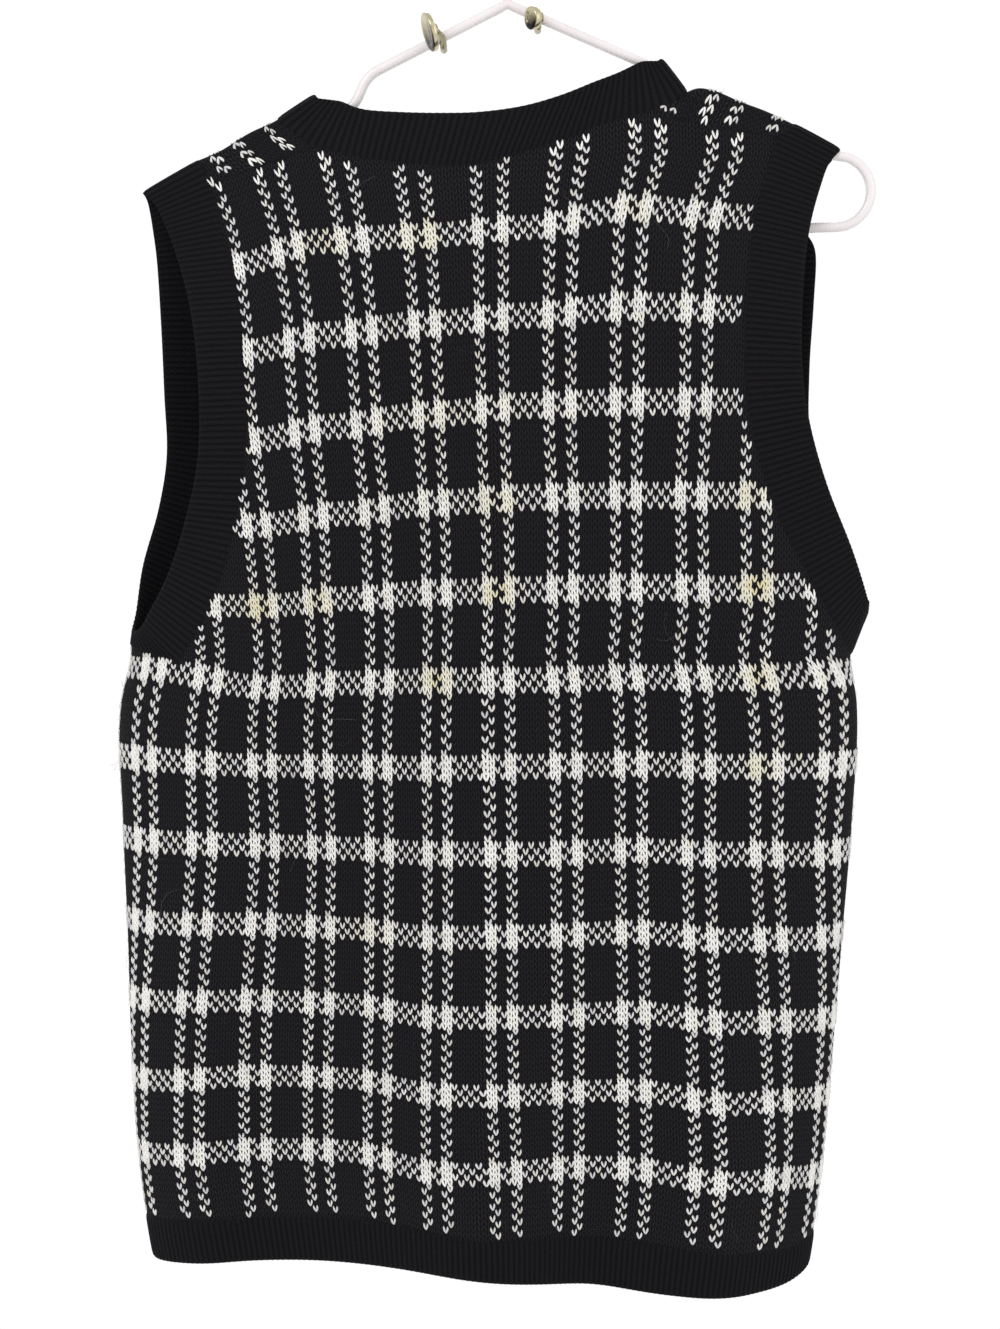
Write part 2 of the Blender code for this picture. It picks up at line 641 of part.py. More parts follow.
def armband(side, back, front, material):
    """A closed band round the armhole: up the back, down the front and round the underarm."""
    s = SIDES.index(side)
    half = FRONT_CELLS // 2
    back_cells = 2 * SHOULDER_CELLS + NECK_CELLS
    stations = []

    def add(seam, edge):
        stations.append((seam[0], seam[1], edge[0], edge[1]))

    corner = BIND_OFF_CELLS if side == "left" else BIND_OFF_CELLS + back_cells
    column = 0 if side == "left" else back_cells
    edges = armhole_edge("back", side)
    for row in range(UPPER_ROWS + 1):
        key = ("low", 0, corner) if row == 0 else ("up", row, column)
        add(back[key], cloth_at("back", *edges[row]))
    layers = front_layer_count()
    edge_x = RIDGE_ARM_EDGE_X[s]
    shoulder_edge = (edge_x, ridge_height(edge_x) + RIDGE_RADIUS * math.sin(math.radians(RIDGE_START_DEG)))
    for step in range(1, WRAP_ROWS):
        edge = between(edges[-1], shoulder_edge, step / WRAP_ROWS)
        add(front[(side, layers - 1 - step, 0)], cloth_at("back", *edge))
    for number, degrees in enumerate(RIDGE_ANGLES_DEG):
        add(front[(side, layers - WRAP_ROWS - 1 - number, 0)], ridge_point(edge_x, degrees))
    edges = armhole_edge("front", side)
    for row in range(UPPER_ROWS, 0, -1):
        key = (side, row - V_ROW - 1, 0)
        if row <= V_ROW:
            key = ("up", row, 0 if side == "left" else FRONT_CELLS)
        add(front[key], cloth_at("front", *edges[row]))
    ends = (cloth_at("front", *edges[0]), cloth_at("back", *armhole_edge("back", side)[0]))
    under = UNDERARM[side]
    away = np.array([-1.0 if side == "left" else 1.0, 0.0, 0.0])
    bottom = np.array([under["edge_x"], 0.0, under["edge_z"]])
    run = []
    for step in range(BIND_OFF_CELLS + 1):
        column = BIND_OFF_CELLS - step
        mirrored = 2 * BIND_OFF_CELLS + FRONT_CELLS - column
        run.append(front[("low", 0, column if side == "left" else mirrored)])
    for step in range(1, BIND_OFF_CELLS):
        run.append(back[("low", 0, step if side == "left" else 2 * BIND_OFF_CELLS + back_cells - step)])
    for number, seam in enumerate(run):
        share = number / len(run)
        pull = 2 * bottom - (ends[0][0] + ends[1][0]) / 2
        point = (1 - share) ** 2 * ends[0][0] + 2 * share * (1 - share) * pull + share**2 * ends[1][0]
        out = (1 - share) * ends[0][1] + share * ends[1][1] + away
        add(seam, (point, out / np.linalg.norm(out)))
    if side == "right":
        stations.reverse()
    return ribbed_band(f"armband_{side}", stations, True, ARMBAND_WALL, ARM_RIB_PITCH, material)


def neckband(back, front, material):
    """A closed band: along the back of the neck, over a shoulder, down and up the V and back."""
    half = FRONT_CELLS // 2
    layers = front_layer_count()
    seam, edge = [], []
    for k in range(NECK_CELLS + 1):
        seam.append(back[("up", UPPER_ROWS, SHOULDER_CELLS + k)])
    run = [0.0] + list(np.cumsum([np.linalg.norm(b[0] - a[0]) for a, b in zip(seam, seam[1:])]))
    for distance in run:
        edge.append(cloth_at("back", *neck_line(NECK_EDGE, distance / run[-1])))
    parts = {}
    for side in SIDES:
        s = SIDES.index(side)
        seams, edges = [], []
        peak_x = RIDGE_NECK_EDGE_X[s]
        peak = (peak_x, ridge_height(peak_x) + RIDGE_RADIUS * math.sin(math.radians(RIDGE_START_DEG)))
        start = neck_line(NECK_EDGE, float(s))
        for step in range(1, WRAP_ROWS):
            seams.append(front[(side, layers - 1 - step, half)])
            edges.append(cloth_at("back", *between(start, peak, step / WRAP_ROWS)))
        for number, degrees in enumerate(RIDGE_ANGLES_DEG):
            seams.append(front[(side, layers - WRAP_ROWS - 1 - number, half)])
            edges.append(ridge_point(peak_x, degrees))
        rows = UPPER_ROWS + 1 - V_ROW
        for row in range(rows - 1, 0, -1):
            seams.append(front[(side, row - 1, half)])
            edges.append(cloth_at("front", *v_line(side, V_EDGE_POINT, peak_x, row / rows)))
        parts[side] = (seams, edges)
    foot_seam = front[("up", V_ROW, half)]
    foot_edge = cloth_at("front", *V_EDGE_POINT)
    all_seams = seam + parts["right"][0] + [foot_seam] + list(reversed(parts["left"][0]))
    all_edges = edge + parts["right"][1] + [foot_edge] + list(reversed(parts["left"][1]))
    stations = [(*a, *b) for a, b in zip(all_seams, all_edges)]
    return ribbed_band("neckband", stations, True, NECKBAND_WALL, NECK_RIB_PITCH, material)


def hem_rib(face, panel, cells, material):
    hem = HEM[face]
    count = cells + 2 * BIND_OFF_CELLS
    stations = []
    for column in range(count + 1):
        point, out = panel[("low", LOWER_ROWS, column)]
        share = share_across(face, point[0], point[2])
        x = point[0]
        for _ in range(3):
            z = float(smooth(hem["x"], hem["edge_z"], x))
            x = x_across(face, z, share)
        end_point, end_out = cloth_at(face, x, z)
        stations.append([point, out, end_point, end_out])
    for column, towards in ((0, 1), (count, count - 1)):
        for k in (0, 2):
            inward = stations[towards][k] - stations[column][k]
            stations[column][k] = stations[column][k] + inward / np.linalg.norm(inward) * SEAM_PULL
    if face == "back":
        stations.reverse()
    return ribbed_band(f"hem_rib_{face}", stations, False, HEM_WALL, HEM_RIB_PITCH, material)


# ---- hanger and pegs ----


def tilted(x, z):
    """A point of the hanger's own drawing, hung from the origin at its tilt."""
    angle = math.radians(HANGER_TILT_DEG)
    across, up = math.cos(angle), math.sin(angle)
    return np.array([x * across - z * up, 0.0, x * up + z * across])


def rounded(points, radius, steps):
    """The line through the points with each inner corner rounded off."""
    line = [np.array(points[0], float)]
    for before, corner, after in zip(points, points[1:], points[2:]):
        before, corner, after = (np.array(p, float) for p in (before, corner, after))
        start = corner + (before - corner) / np.linalg.norm(before - corner) * radius
        end = corner + (after - corner) / np.linalg.norm(after - corner) * radius
        for k in range(steps + 1):
            t = k / steps
            line.append((1 - t) ** 2 * start + 2 * t * (1 - t) * corner + t * t * end)
    line.append(np.array(points[-1], float))
    return line


def tube(name, line, radius, closed, material):
    """A round tube along a line in the hanger's plane."""
    count = len(line)
    points, faces = [], []
    for i, point in enumerate(line):
        before = line[i - 1] if closed or i else point
        after = line[(i + 1) % count] if closed or i < count - 1 else point
        run = (after - before) / np.linalg.norm(after - before)
        side = np.array([-run[2], 0.0, run[0]])
        for k in range(TUBE_SIDES):
            turn = 2 * math.pi * k / TUBE_SIDES
            ray = math.cos(turn) * side + math.sin(turn) * np.array([0.0, 1.0, 0.0])
            points.append(point + radius * ray)
    for i in range(count if closed else count - 1):
        j = (i + 1) % count
        for k in range(TUBE_SIDES):
            m = (k + 1) % TUBE_SIDES
            faces.append([i * TUBE_SIDES + k, j * TUBE_SIDES + k, j * TUBE_SIDES + m, i * TUBE_SIDES + m])
    if not closed:
        faces.append(list(range(TUBE_SIDES)))
        faces.append([(count - 1) * TUBE_SIDES + k for k in reversed(range(TUBE_SIDES))])
    return build_object(name, points, faces, material)


def hanger(material):
    shape = [np.array([0.0, APEX_RISE])]
    halves = []
    for inset in (0.0, LEFT_END_INSET):
        end_x = SHOULDER_END[0] - inset
        half = rounded([(0.0, 0.0), ARM_END, NOTCH_END, (end_x, SHOULDER_END[1])], CORNER_RADIUS, 3)[1:]
        for k in range(END_STEPS + 1):
            angle = math.radians(END_FROM_DEG - (END_FROM_DEG + 90.0) * k / END_STEPS)
            centre = np.array([end_x + END_OVERHANG, -BAR_DROP + END_RADIUS])
            half.append(centre + END_RADIUS * np.array([math.cos(angle), math.sin(angle)]))
        halves.append(half)
    shape += halves[0] + [np.array([-p[0], p[1]]) for p in reversed(halves[1])]
    line = [tilted(p[0], p[1] - APEX_DROP) for p in shape]
    tube("hanger", line, TUBE_RADIUS, True, material)


def hook(material):
    """An open ring above a short stem, whose inner top is the origin."""
    centre_z = TUBE_RADIUS - HOOK_RADIUS
    line = [(0.0, HOOK_FOOT_Z), (0.0, centre_z - HOOK_RADIUS - HOOK_NECK)]
    sweep = 270.0 - HOOK_START_DEG + HOOK_TIP_DEG
    for k in range(HOOK_STEPS + 1):
        angle = math.radians(-90.0 + HOOK_START_DEG + sweep * k / HOOK_STEPS)
        line.append((HOOK_RADIUS * math.cos(angle), centre_z + HOOK_RADIUS * math.sin(angle)))
    tube("hanger_hook", [tilted(*p) for p in line], TUBE_RADIUS, False, material)


def arm_height(x):
    """The height of the tube's middle on the hanger's straight arms."""
    slope = math.atan2(-ARM_END[1], ARM_END[0])
    tilt = math.radians(HANGER_TILT_DEG)
    apex = tilted(0.0, -APEX_DROP)
    run = x - apex[0]
    rise = APEX_RISE * (1.0 - abs(run) / ARM_END[0])
    return apex[2] + rise - abs(run) * math.tan(slope - math.copysign(tilt, run))


def turned(name, rings, material):
    """A closed body through rings of (centre, direction, radius), with a point at each end."""
    points, faces, loops = [], [], []
    for centre, direction, radius in rings:
        axis = np.array(direction, float) / np.linalg.norm(direction)
        across = np.cross(axis, [0.0, 0.0, 1.0])
        across /= np.linalg.norm(across)
        upright = np.cross(axis, across)
        loop = []
        for k in range(PEG_SIDES if radius else 1):
            angle = 2 * math.pi * k / PEG_SIDES
            loop.append(len(points))
            ray = math.cos(angle) * across + math.sin(angle) * upright
            points.append(np.array(centre) + radius * ray)
        loops.append(loop)
    for a, b in zip(loops, loops[1:]):
        for k in range(PEG_SIDES):
            m = (k + 1) % PEG_SIDES
            if len(a) == 1:
                faces.append([a[0], b[m], b[k]])
            elif len(b) == 1:
                faces.append([a[k], a[m], b[0]])
            else:
                faces.append([a[k], a[m], b[m], b[k]])
    build_object(name, points, faces, material)


def peg(name, facts, material):
    facts = dict(zip(PEG_COLUMNS, facts))
    slope = math.atan2(-ARM_END[1], ARM_END[0])
    stem_z = arm_height(facts["stem_x"]) - (TUBE_RADIUS + PEG_STEM_RADIUS + PEG_GAP) / math.cos(slope)
    turn, roll = math.radians(facts["turn_deg"]), math.radians(facts["roll_deg"])
    axis = np.array([math.sin(turn) * math.cos(roll), -math.cos(turn), math.sin(turn) * math.sin(roll)])
    head = np.array([facts["head_x"], facts["head_y"], facts["head_z"]])
    foot = np.array([facts["stem_x"], 0.0, stem_z])
    radius, half = facts["head_radius"], facts["head_thickness"] / 2
    back = head - axis * (half + PEG_NECK_REACH)
    bend = np.array([foot[0], (foot[1] + back[1]) / 2, (foot[2] + back[2]) / 2])
    rings = [
        (foot + [0.0, PEG_STEM_LENGTH, 0.0], (0.0, -1.0, 0.0), 0.0),
        (foot + [0.0, PEG_STEM_LENGTH, 0.0], (0.0, -1.0, 0.0), PEG_STEM_RADIUS),
        (foot - [0.0, TUBE_RADIUS, 0.0], (0.0, -1.0, 0.0), PEG_STEM_RADIUS),
        (bend, axis + np.array([0.0, -1.0, 0.0]), PEG_STEM_RADIUS),
        (back, axis, PEG_NECK_RADIUS),
        (head - axis * (half + PEG_BACK_STEP), axis, radius - PEG_BACK_INSET),
        (head - axis * (half - PEG_EDGE), axis, radius),
        (head + axis * (half - PEG_EDGE), axis, radius),
        (head + axis * half, axis, radius - PEG_FACE_INSET),
        (head + axis * half, axis, 0.0),
    ]
    turned(name, rings, material)


# ---- materials and assembly ----


def finish(name, colour, roughness, metallic=0.0):
    material = bpy.data.materials.new(name)
    material.use_nodes = True
    shader = material.node_tree.nodes["Principled BSDF"]
    shader.inputs["Base Color"].default_value = (*colour, 1.0)
    shader.inputs["Roughness"].default_value = roughness
    shader.inputs["Metallic"].default_value = metallic
    return material


def main():
    for item in list(bpy.data.objects):
        bpy.data.objects.remove(item, do_unlink=True)
    knit = finish("check knit", (0.12, 0.115, 0.11), 0.9)
    rib = finish("black rib", (0.012, 0.012, 0.014), 0.9)
    plastic = finish("white plastic", (0.82, 0.80, 0.80), 0.3)
    metal = finish("nickel", (0.62, 0.58, 0.45), 0.28, 1.0)
    back = back_panel(knit)
    front = front_panel(knit)
    hem_rib("back", back, 2 * SHOULDER_CELLS + NECK_CELLS, rib)
    hem_rib("front", front, FRONT_CELLS, rib)
    neckband(back, front, rib)
    for side in SIDES:
        armband(side, back, front, rib)
    hanger(plastic)
    hook(plastic)
    peg("peg_left", PEG_LEFT, metal)
    peg("peg_right", PEG_RIGHT, metal)


main()
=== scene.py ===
import math

import bpy
import numpy as np
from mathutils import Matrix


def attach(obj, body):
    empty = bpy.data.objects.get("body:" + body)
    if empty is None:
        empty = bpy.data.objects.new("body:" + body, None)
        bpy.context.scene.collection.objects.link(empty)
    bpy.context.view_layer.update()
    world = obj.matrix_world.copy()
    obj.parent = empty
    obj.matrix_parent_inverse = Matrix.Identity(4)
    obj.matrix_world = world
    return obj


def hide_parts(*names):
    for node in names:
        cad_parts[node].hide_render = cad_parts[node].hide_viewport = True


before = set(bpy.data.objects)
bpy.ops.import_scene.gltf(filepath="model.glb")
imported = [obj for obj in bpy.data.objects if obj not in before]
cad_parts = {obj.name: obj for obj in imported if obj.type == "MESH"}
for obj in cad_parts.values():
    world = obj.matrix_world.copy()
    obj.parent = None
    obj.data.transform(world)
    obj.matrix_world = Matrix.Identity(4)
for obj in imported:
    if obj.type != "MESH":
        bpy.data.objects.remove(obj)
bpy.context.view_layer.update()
mm = 0.001  # the tables below are in millimetres, Blender works in metres
scene = bpy.context.scene

# Left and right are as seen by a viewer at -Y, towards whom the back of the vest is turned.


def columns(rows, *names):
    values = np.array(rows, float)
    return {name: values[:, i] for i, name in enumerate(names)}


def smoothCurve(knots, values, where):
    # a smooth line through the knots, flat past its ends
    knots, values = np.asarray(knots, float), np.asarray(values, float)
    runs = np.diff(knots)
    rises = np.diff(values) / runs
    middle = (rises[1:] * runs[:-1] + rises[:-1] * runs[1:]) / (runs[1:] + runs[:-1])
    slopes = np.concatenate([rises[:1], middle, rises[-1:]])
    where = np.clip(where, knots[0], knots[-1])
    i = np.clip(np.searchsorted(knots, where) - 1, 0, len(knots) - 2)
    span = knots[i + 1] - knots[i]
    t = (where - knots[i]) / span
    start = (2 * t**3 - 3 * t**2 + 1) * values[i] + (t**3 - 2 * t**2 + t) * span * slopes[i]
    return start + (t**3 - t**2) * span * slopes[i + 1] + (3 * t**2 - 2 * t**3) * values[i + 1]


def mixed(a, b, share):
    return np.asarray(a, float) + (np.asarray(b, float) - np.asarray(a, float)) * share


def unit(vectors):
    return vectors / np.maximum(np.linalg.norm(vectors, axis=-1, keepdims=True), 1e-9)


# ---- the form that the cloth takes ----

clothForm = {
    "sectionPower": 2.35,  # squareness of the body's cross-section
    "ridgeRadius": 5.0,  # mm, the fold over the hanger's arms
    "ridgeStart": math.radians(20.0),  # how far round that fold the back and the front begin
    "taperDrop": 140.0,  # mm below the hanger at which the body is as deep as its section says
    "lowest": -806.0,
    "sideDrop": -445.0,  # the level of the armhole corners
    "hemLevel": -780.0,
    "levels": (-812.0, -96.0),  # between these the cloth's widths are worked out
    # The cross-section at some heights: its left and right side, and how far its back and front bulge.
    "sections": columns((
        (-806.0, -201.5, 176.5, 48.0, 44.0), (-752.0, -209.5, 184.0, 52.0, 47.0),
        (-681.0, -214.5, 190.0, 54.0, 49.0), (-610.0, -216.0, 195.0, 56.0, 50.0),
        (-540.0, -218.0, 200.0, 57.0, 51.0), (-471.0, -218.0, 202.0, 57.0, 51.0),
        (-442.0, -212.0, 198.5, 56.0, 50.0), (-417.0, -216.0, 209.5, 54.0, 48.0),
        (-390.0, -218.0, 212.0, 52.0, 46.0), (-330.0, -222.0, 212.0, 49.0, 43.0),
        (-250.0, -222.0, 210.0, 44.0, 39.0), (-180.0, -222.0, 209.0, 36.0, 32.0),
        (-100.0, -222.0, 209.0, 24.0, 22.0),
    ), "z", "left", "right", "back", "front"),
    # The line along which the cloth lies over the hanger.
    "ridge": columns((
        (-222.0, -200.0), (-201.3, -187.6), (-190.0, -178.8), (-182.6, -175.9), (-171.0, -171.0),
        (-158.0, -165.5), (-139.0, -154.3), (-127.0, -149.0), (-103.0, -133.5), (-60.0, -117.0),
        (-10.0, -106.0), (40.0, -102.0), (70.0, -105.5), (85.0, -112.6), (93.0, -122.5),
        (101.0, -132.6), (111.0, -130.8), (118.0, -132.3), (131.0, -137.7), (146.0, -143.2),
        (162.0, -150.6), (172.0, -154.5), (189.0, -163.0), (212.0, -175.0),
    ), "x", "z"),
    # Soft folds that deepen towards the hem; a depth below nothing is a trough.
    "folds": {
        "back": columns((
            (-118.0, 58.0, -15.0, -520.0), (-14.0, 36.0, 13.0, -560.0), (50.0, 26.0, -8.0, -600.0),
            (124.0, 38.0, 12.0, -540.0), (-172.0, 20.0, 5.0, -470.0),
        ), "x", "halfWidth", "depth", "top"),
        "front": columns((
            (-130.0, 44.0, 11.0, -520.0), (-62.0, 38.0, -11.0, -540.0), (18.0, 44.0, 12.0, -500.0),
            (88.0, 32.0, -9.0, -580.0), (140.0, 26.0, 8.0, -540.0),
        ), "x", "halfWidth", "depth", "top"),
    },
}
# Each armhole from the shoulder down to its corner: the panel's edge, and the band's free edge.
armholes = {
    ("back", "left"): columns((
        (-164.2, -179.0, -195.0, -192.0), (-154.5, -213.0, -184.0, -217.0),
        (-145.0, -252.0, -173.5, -253.0), (-141.0, -293.0, -168.5, -294.0),
        (-142.0, -333.0, -169.0, -333.0), (-148.0, -369.0, -176.0, -366.0),
        (-160.0, -411.0, -187.0, -398.0), (-181.0, -447.0, -203.0, -427.0),
    ), "seamX", "seamZ", "edgeX", "edgeZ"),
    ("front", "left"): columns((
        (-168.0, -184.0, -200.5, -197.0), (-167.0, -216.0, -198.2, -220.0),
        (-167.0, -255.0, -197.2, -256.0), (-166.5, -296.0, -196.6, -296.0),
        (-168.0, -334.0, -195.8, -330.0), (-175.0, -370.0, -200.5, -361.0),
        (-187.0, -405.0, -209.0, -394.0), (-203.0, -436.0, -212.5, -424.0),
    ), "seamX", "seamZ", "edgeX", "edgeZ"),
    ("back", "right"): columns((
        (153.6, -154.2, 182.5, -168.0), (141.0, -197.0, 171.5, -204.0),
        (134.3, -240.0, 166.3, -244.0), (132.9, -282.0, 165.6, -282.0),
        (137.5, -321.0, 170.0, -314.0), (150.0, -361.0, 180.5, -349.0),
        (169.0, -398.0, 195.5, -384.0), (193.0, -438.0, 207.0, -415.0),
    ), "seamX", "seamZ", "edgeX", "edgeZ"),
    ("front", "right"): columns((
        (155.5, -166.0, 180.0, -172.0), (152.8, -186.0, 170.5, -186.0),
        (151.6, -199.0, 168.0, -199.5), (151.0, -211.0, 179.0, -210.5),
        (149.6, -243.0, 179.4, -243.0), (148.8, -285.0, 178.0, -284.0),
        (152.0, -330.0, 179.8, -322.0), (164.0, -378.0, 195.5, -368.0),
        (191.0, -436.0, 209.0, -414.0),
    ), "seamX", "seamZ", "edgeX", "edgeZ"),
}
underarms = {  # seam z, edge x, edge z, and how much lower the edge runs in front than at the back
    "left": (-439.0, -211.5, -431.0, 0.0),
    "right": (-445.0, 209.0, -418.0, 5.0),
}
shoulders = {  # x of each seam and free edge where it passes over the hanger
    "left": {"armSeam": -169.0, "armEdge": -201.3, "neckSeam": -124.5, "neckEdge": -103.0},
    "right": {"armSeam": 161.0, "armEdge": 189.0, "neckSeam": 101.5, "neckEdge": 85.0},
}
neckSeam = columns((
    (-105.0, -161.0), (-92.0, -163.5), (-80.0, -166.8), (-57.0, -170.0), (-31.0, -172.4),
    (-6.0, -169.7), (20.0, -161.8), (39.0, -155.3), (58.0, -147.5), (80.0, -141.5),
), "x", "z")
neckEdge = columns((
    (-91.0, -133.5), (-78.0, -138.6), (-57.0, -140.6), (-35.0, -141.4), (-13.0, -141.0),
    (11.0, -137.7), (32.0, -131.5), (50.0, -124.0), (64.0, -118.3), (77.0, -111.5),
), "x", "z")
neckVee = {
    "seam": (-8.0, -345.0),  # x and z of the foot of the V
    "edge": (-8.0, -283.0),
    "bow": 6.0,  # mm by which its sides curve out
    "startRow": 5.0,  # the row of the armhole seam that is level with its foot
    "lastShare": 8.0 / 9.0,  # how much of it lies on the front, the rest passes over the hanger
}
hems = {
    "back": columns((
        (-206.0, -770.0, -795.5), (-175.0, -766.0, -791.5), (-120.0, -763.0, -789.0),
        (-70.0, -762.5, -788.5), (-20.0, -766.5, -790.0), (40.0, -770.5, -798.5),
        (95.0, -774.5, -803.5), (140.0, -782.0, -806.0), (165.0, -784.0, -804.0),
        (180.0, -780.0, -799.0),
    ), "x", "seam", "edge"),
    "front": columns((
        (-206.0, -770.0, -795.5), (-130.0, -765.0, -791.0), (-20.0, -766.0, -792.0),
        (90.0, -772.0, -797.0), (150.0, -778.0, -800.0), (180.0, -780.0, -799.0),
    ), "x", "seam", "edge"),
}
upperRows = 13.0  # the armhole seam is drawn in this many rows of the cut


def ridgeHeight(x):
    return smoothCurve(clothForm["ridge"]["x"], clothForm["ridge"]["z"], x)


def foldDepth(face, x, z):
    folds = clothForm["folds"][face]
    rise = np.clip((folds["top"] - z[..., None]) / (folds["top"] - clothForm["lowest"]), 0.0, 1.0)
    away = (x[..., None] - folds["x"]) / folds["halfWidth"]
    return np.sum(folds["depth"] * rise * rise * (3.0 - 2.0 * rise) * np.exp(-(away**2)), axis=-1)


def sectionAt(name, z):
    return smoothCurve(clothForm["sections"]["z"], clothForm["sections"][name], z)


def clothPoints(face, turn, z):
    # a turn is -90 degrees at the left side seam and 90 at the right one
    power = 2.0 / clothForm["sectionPower"]
    left, right = sectionAt("left", z), sectionAt("right", z)
    across = np.sign(np.sin(turn)) * np.abs(np.sin(turn)) ** power
    x = (left + right) / 2 + across * (right - left) / 2
    depth = (sectionAt(face, z) + foldDepth(face, x, z)) * np.abs(np.cos(turn)) ** power
    radius, start = clothForm["ridgeRadius"], clothForm["ridgeStart"]
    near = radius * math.cos(start)
    drop = ridgeHeight(x) + radius * math.sin(start) - z
    depth = near + (depth - near) * np.sin(np.clip(drop / clothForm["taperDrop"], 0.0, 1.0) * math.pi / 2)
    return np.stack([x, -depth if face == "back" else depth, z + 0.0 * x], axis=-1)


def turnAt(x, z):
    left, right = sectionAt("left", z), sectionAt("right", z)
    across = np.clip((2.0 * x - left - right) / (right - left), -1.0, 1.0)
    return np.arcsin(np.sign(across) * np.abs(across) ** (clothForm["sectionPower"] / 2.0))


def clothAt(face, x, z):
    # points of the wall's middle, and the way out of the garment at each
    x, z = np.broadcast_arrays(np.asarray(x, float), np.asarray(z, float))
    turn = turnAt(x, z)
    step, drop = 0.02, 2.0  # radians and mm to the neighbours that the way out is taken from
    after = clothPoints(face, np.minimum(turn + step, math.pi / 2), z)
    before = clothPoints(face, np.maximum(turn - step, -math.pi / 2), z)
    here = clothPoints(face, turn, z)
    out = np.cross(after - before, here - clothPoints(face, turn, z - drop))
    return here, unit(out if face == "back" else -out)


def ridgePoints(x, angle):
    # points of the fold over the hanger; angle 0 faces the back and 180 degrees the front
    x, angle = np.broadcast_arrays(np.asarray(x, float), np.asarray(angle, float))
    reach, radius = 1.0, clothForm["ridgeRadius"]
    slope = np.arctan2(ridgeHeight(x + reach) - ridgeHeight(x - reach), 2 * reach)
    zero = np.zeros_like(x)
    above = np.stack([-np.sin(slope), zero, np.cos(slope)], axis=-1)
    out = np.sin(angle)[..., None] * above - np.cos(angle)[..., None] * np.array([0.0, 1.0, 0.0])
    return np.stack([x, zero, ridgeHeight(x)], axis=-1) + radius * out, out


def ridgeFoot(x):
    # where the fold over the hanger passes into the back
    return ridgeHeight(x) + clothForm["ridgeRadius"] * math.sin(clothForm["ridgeStart"])


# Lengths along the cloth, kept at many levels so that a place can be found by its share of the width.
levelCount, turnCount, shareCount = 130, 121, 181
levels = np.linspace(*clothForm["levels"], levelCount)
turnSteps = np.linspace(-math.pi / 2, math.pi / 2, turnCount)
shareSteps = np.linspace(0.0, 1.0, shareCount)
runs = {}
for face in ("back", "front"):
    ring = clothPoints(face, np.tile(turnSteps, (levelCount, 1)), np.tile(levels[:, None], (1, turnCount)))
    lengths = np.cumsum(np.linalg.norm(np.diff(ring, axis=1), axis=-1), axis=1)
    lengths = np.hstack([np.zeros((levelCount, 1)), lengths])
    shares = lengths / lengths[:, -1:]
    turns = np.array([np.interp(shareSteps, row, turnSteps) for row in shares])
    runs[face] = {"shares": shares, "turns": turns}


def fromGrid(grid, rowKnots, columnKnots, row, column):
    # a value between the four nearest of an even grid
    short = 1.001  # keeps the last place inside the last cell
    i = np.clip((row - rowKnots[0]) / (rowKnots[1] - rowKnots[0]), 0, len(rowKnots) - short)
    j = np.clip((column - columnKnots[0]) / (columnKnots[1] - columnKnots[0]), 0, len(columnKnots) - short)
    a, b = i.astype(int), j.astype(int)
    s, t = i - a, j - b
    low = grid[a, b] * (1 - t) + grid[a, b + 1] * t
    return low * (1 - s) + (grid[a + 1, b] * (1 - t) + grid[a + 1, b + 1] * t) * s


def shareOf(face, x, z):
    x, z = np.broadcast_arrays(np.asarray(x, float), np.asarray(z, float))
    return fromGrid(runs[face]["shares"], levels, turnSteps, z, turnAt(x, z))


def xAtShare(face, z, share):
    z, share = np.broadcast_arrays(np.asarray(z, float), np.asarray(share, float))
    return clothPoints(face, fromGrid(runs[face]["turns"], levels, shareSteps, z, share), z)[..., 0]


def alongTable(rows, nameX, nameZ, share):
    knots = np.linspace(0.0, 1.0, len(rows[nameX]))
    return smoothCurve(knots, rows[nameX], share), smoothCurve(knots, rows[nameZ], share)


def armLine(face, side, row, part="seam"):
    share = 1.0 - np.asarray(row, float) / upperRows
    return alongTable(armholes[face, side], part + "X", part + "Z", share)


def veeLine(side, part, share):
    foot = neckVee[part]
    top = shoulders[side]["neckSeam" if part == "seam" else "neckEdge"]
    bow = neckVee["bow"] * np.sin(math.pi * share) * (-1.0 if side == "left" else 1.0)
    return mixed(foot[0], top, share) + bow, mixed(foot[1], ridgeHeight(top), share)


def pitHeight(face, x):
    # the cut across the underarms: from side seam to armhole corner, over to the other, and to its side seam
    left, right = armholes[face, "left"], armholes[face, "right"]
    leftSide = float(sectionAt("left", left["seamZ"][-1]))
    rightSide = float(sectionAt("right", clothForm["sideDrop"]))
    corners = [leftSide, left["seamX"][-1], right["seamX"][-1], rightSide]
    heights = [underarms["left"][0], left["seamZ"][-1], right["seamZ"][-1], underarms["right"][0]]
    return np.interp(x, corners, heights)


def pitCorners(face):
    found = []
    for side in ("left", "right"):
        line = armholes[face, side]
        found.append(float(shareOf(face, line["seamX"][-1], line["seamZ"][-1])))
    return found


# ---- the knitted check ----

knit = {
    "wales": 12,  # stitches across one check
    "rows": 14,  # rows in one check
    "pair": (0, 1, 4, 5),  # the wales that carry white upwards
    "pairWale": 3.0,  # the wale at the middle of a pair
    "leastPair": 0.08,  # least share of the width from pair to pair, past the first and the last
    "bandRows": 4,
    "row": 3.35,  # mm
}
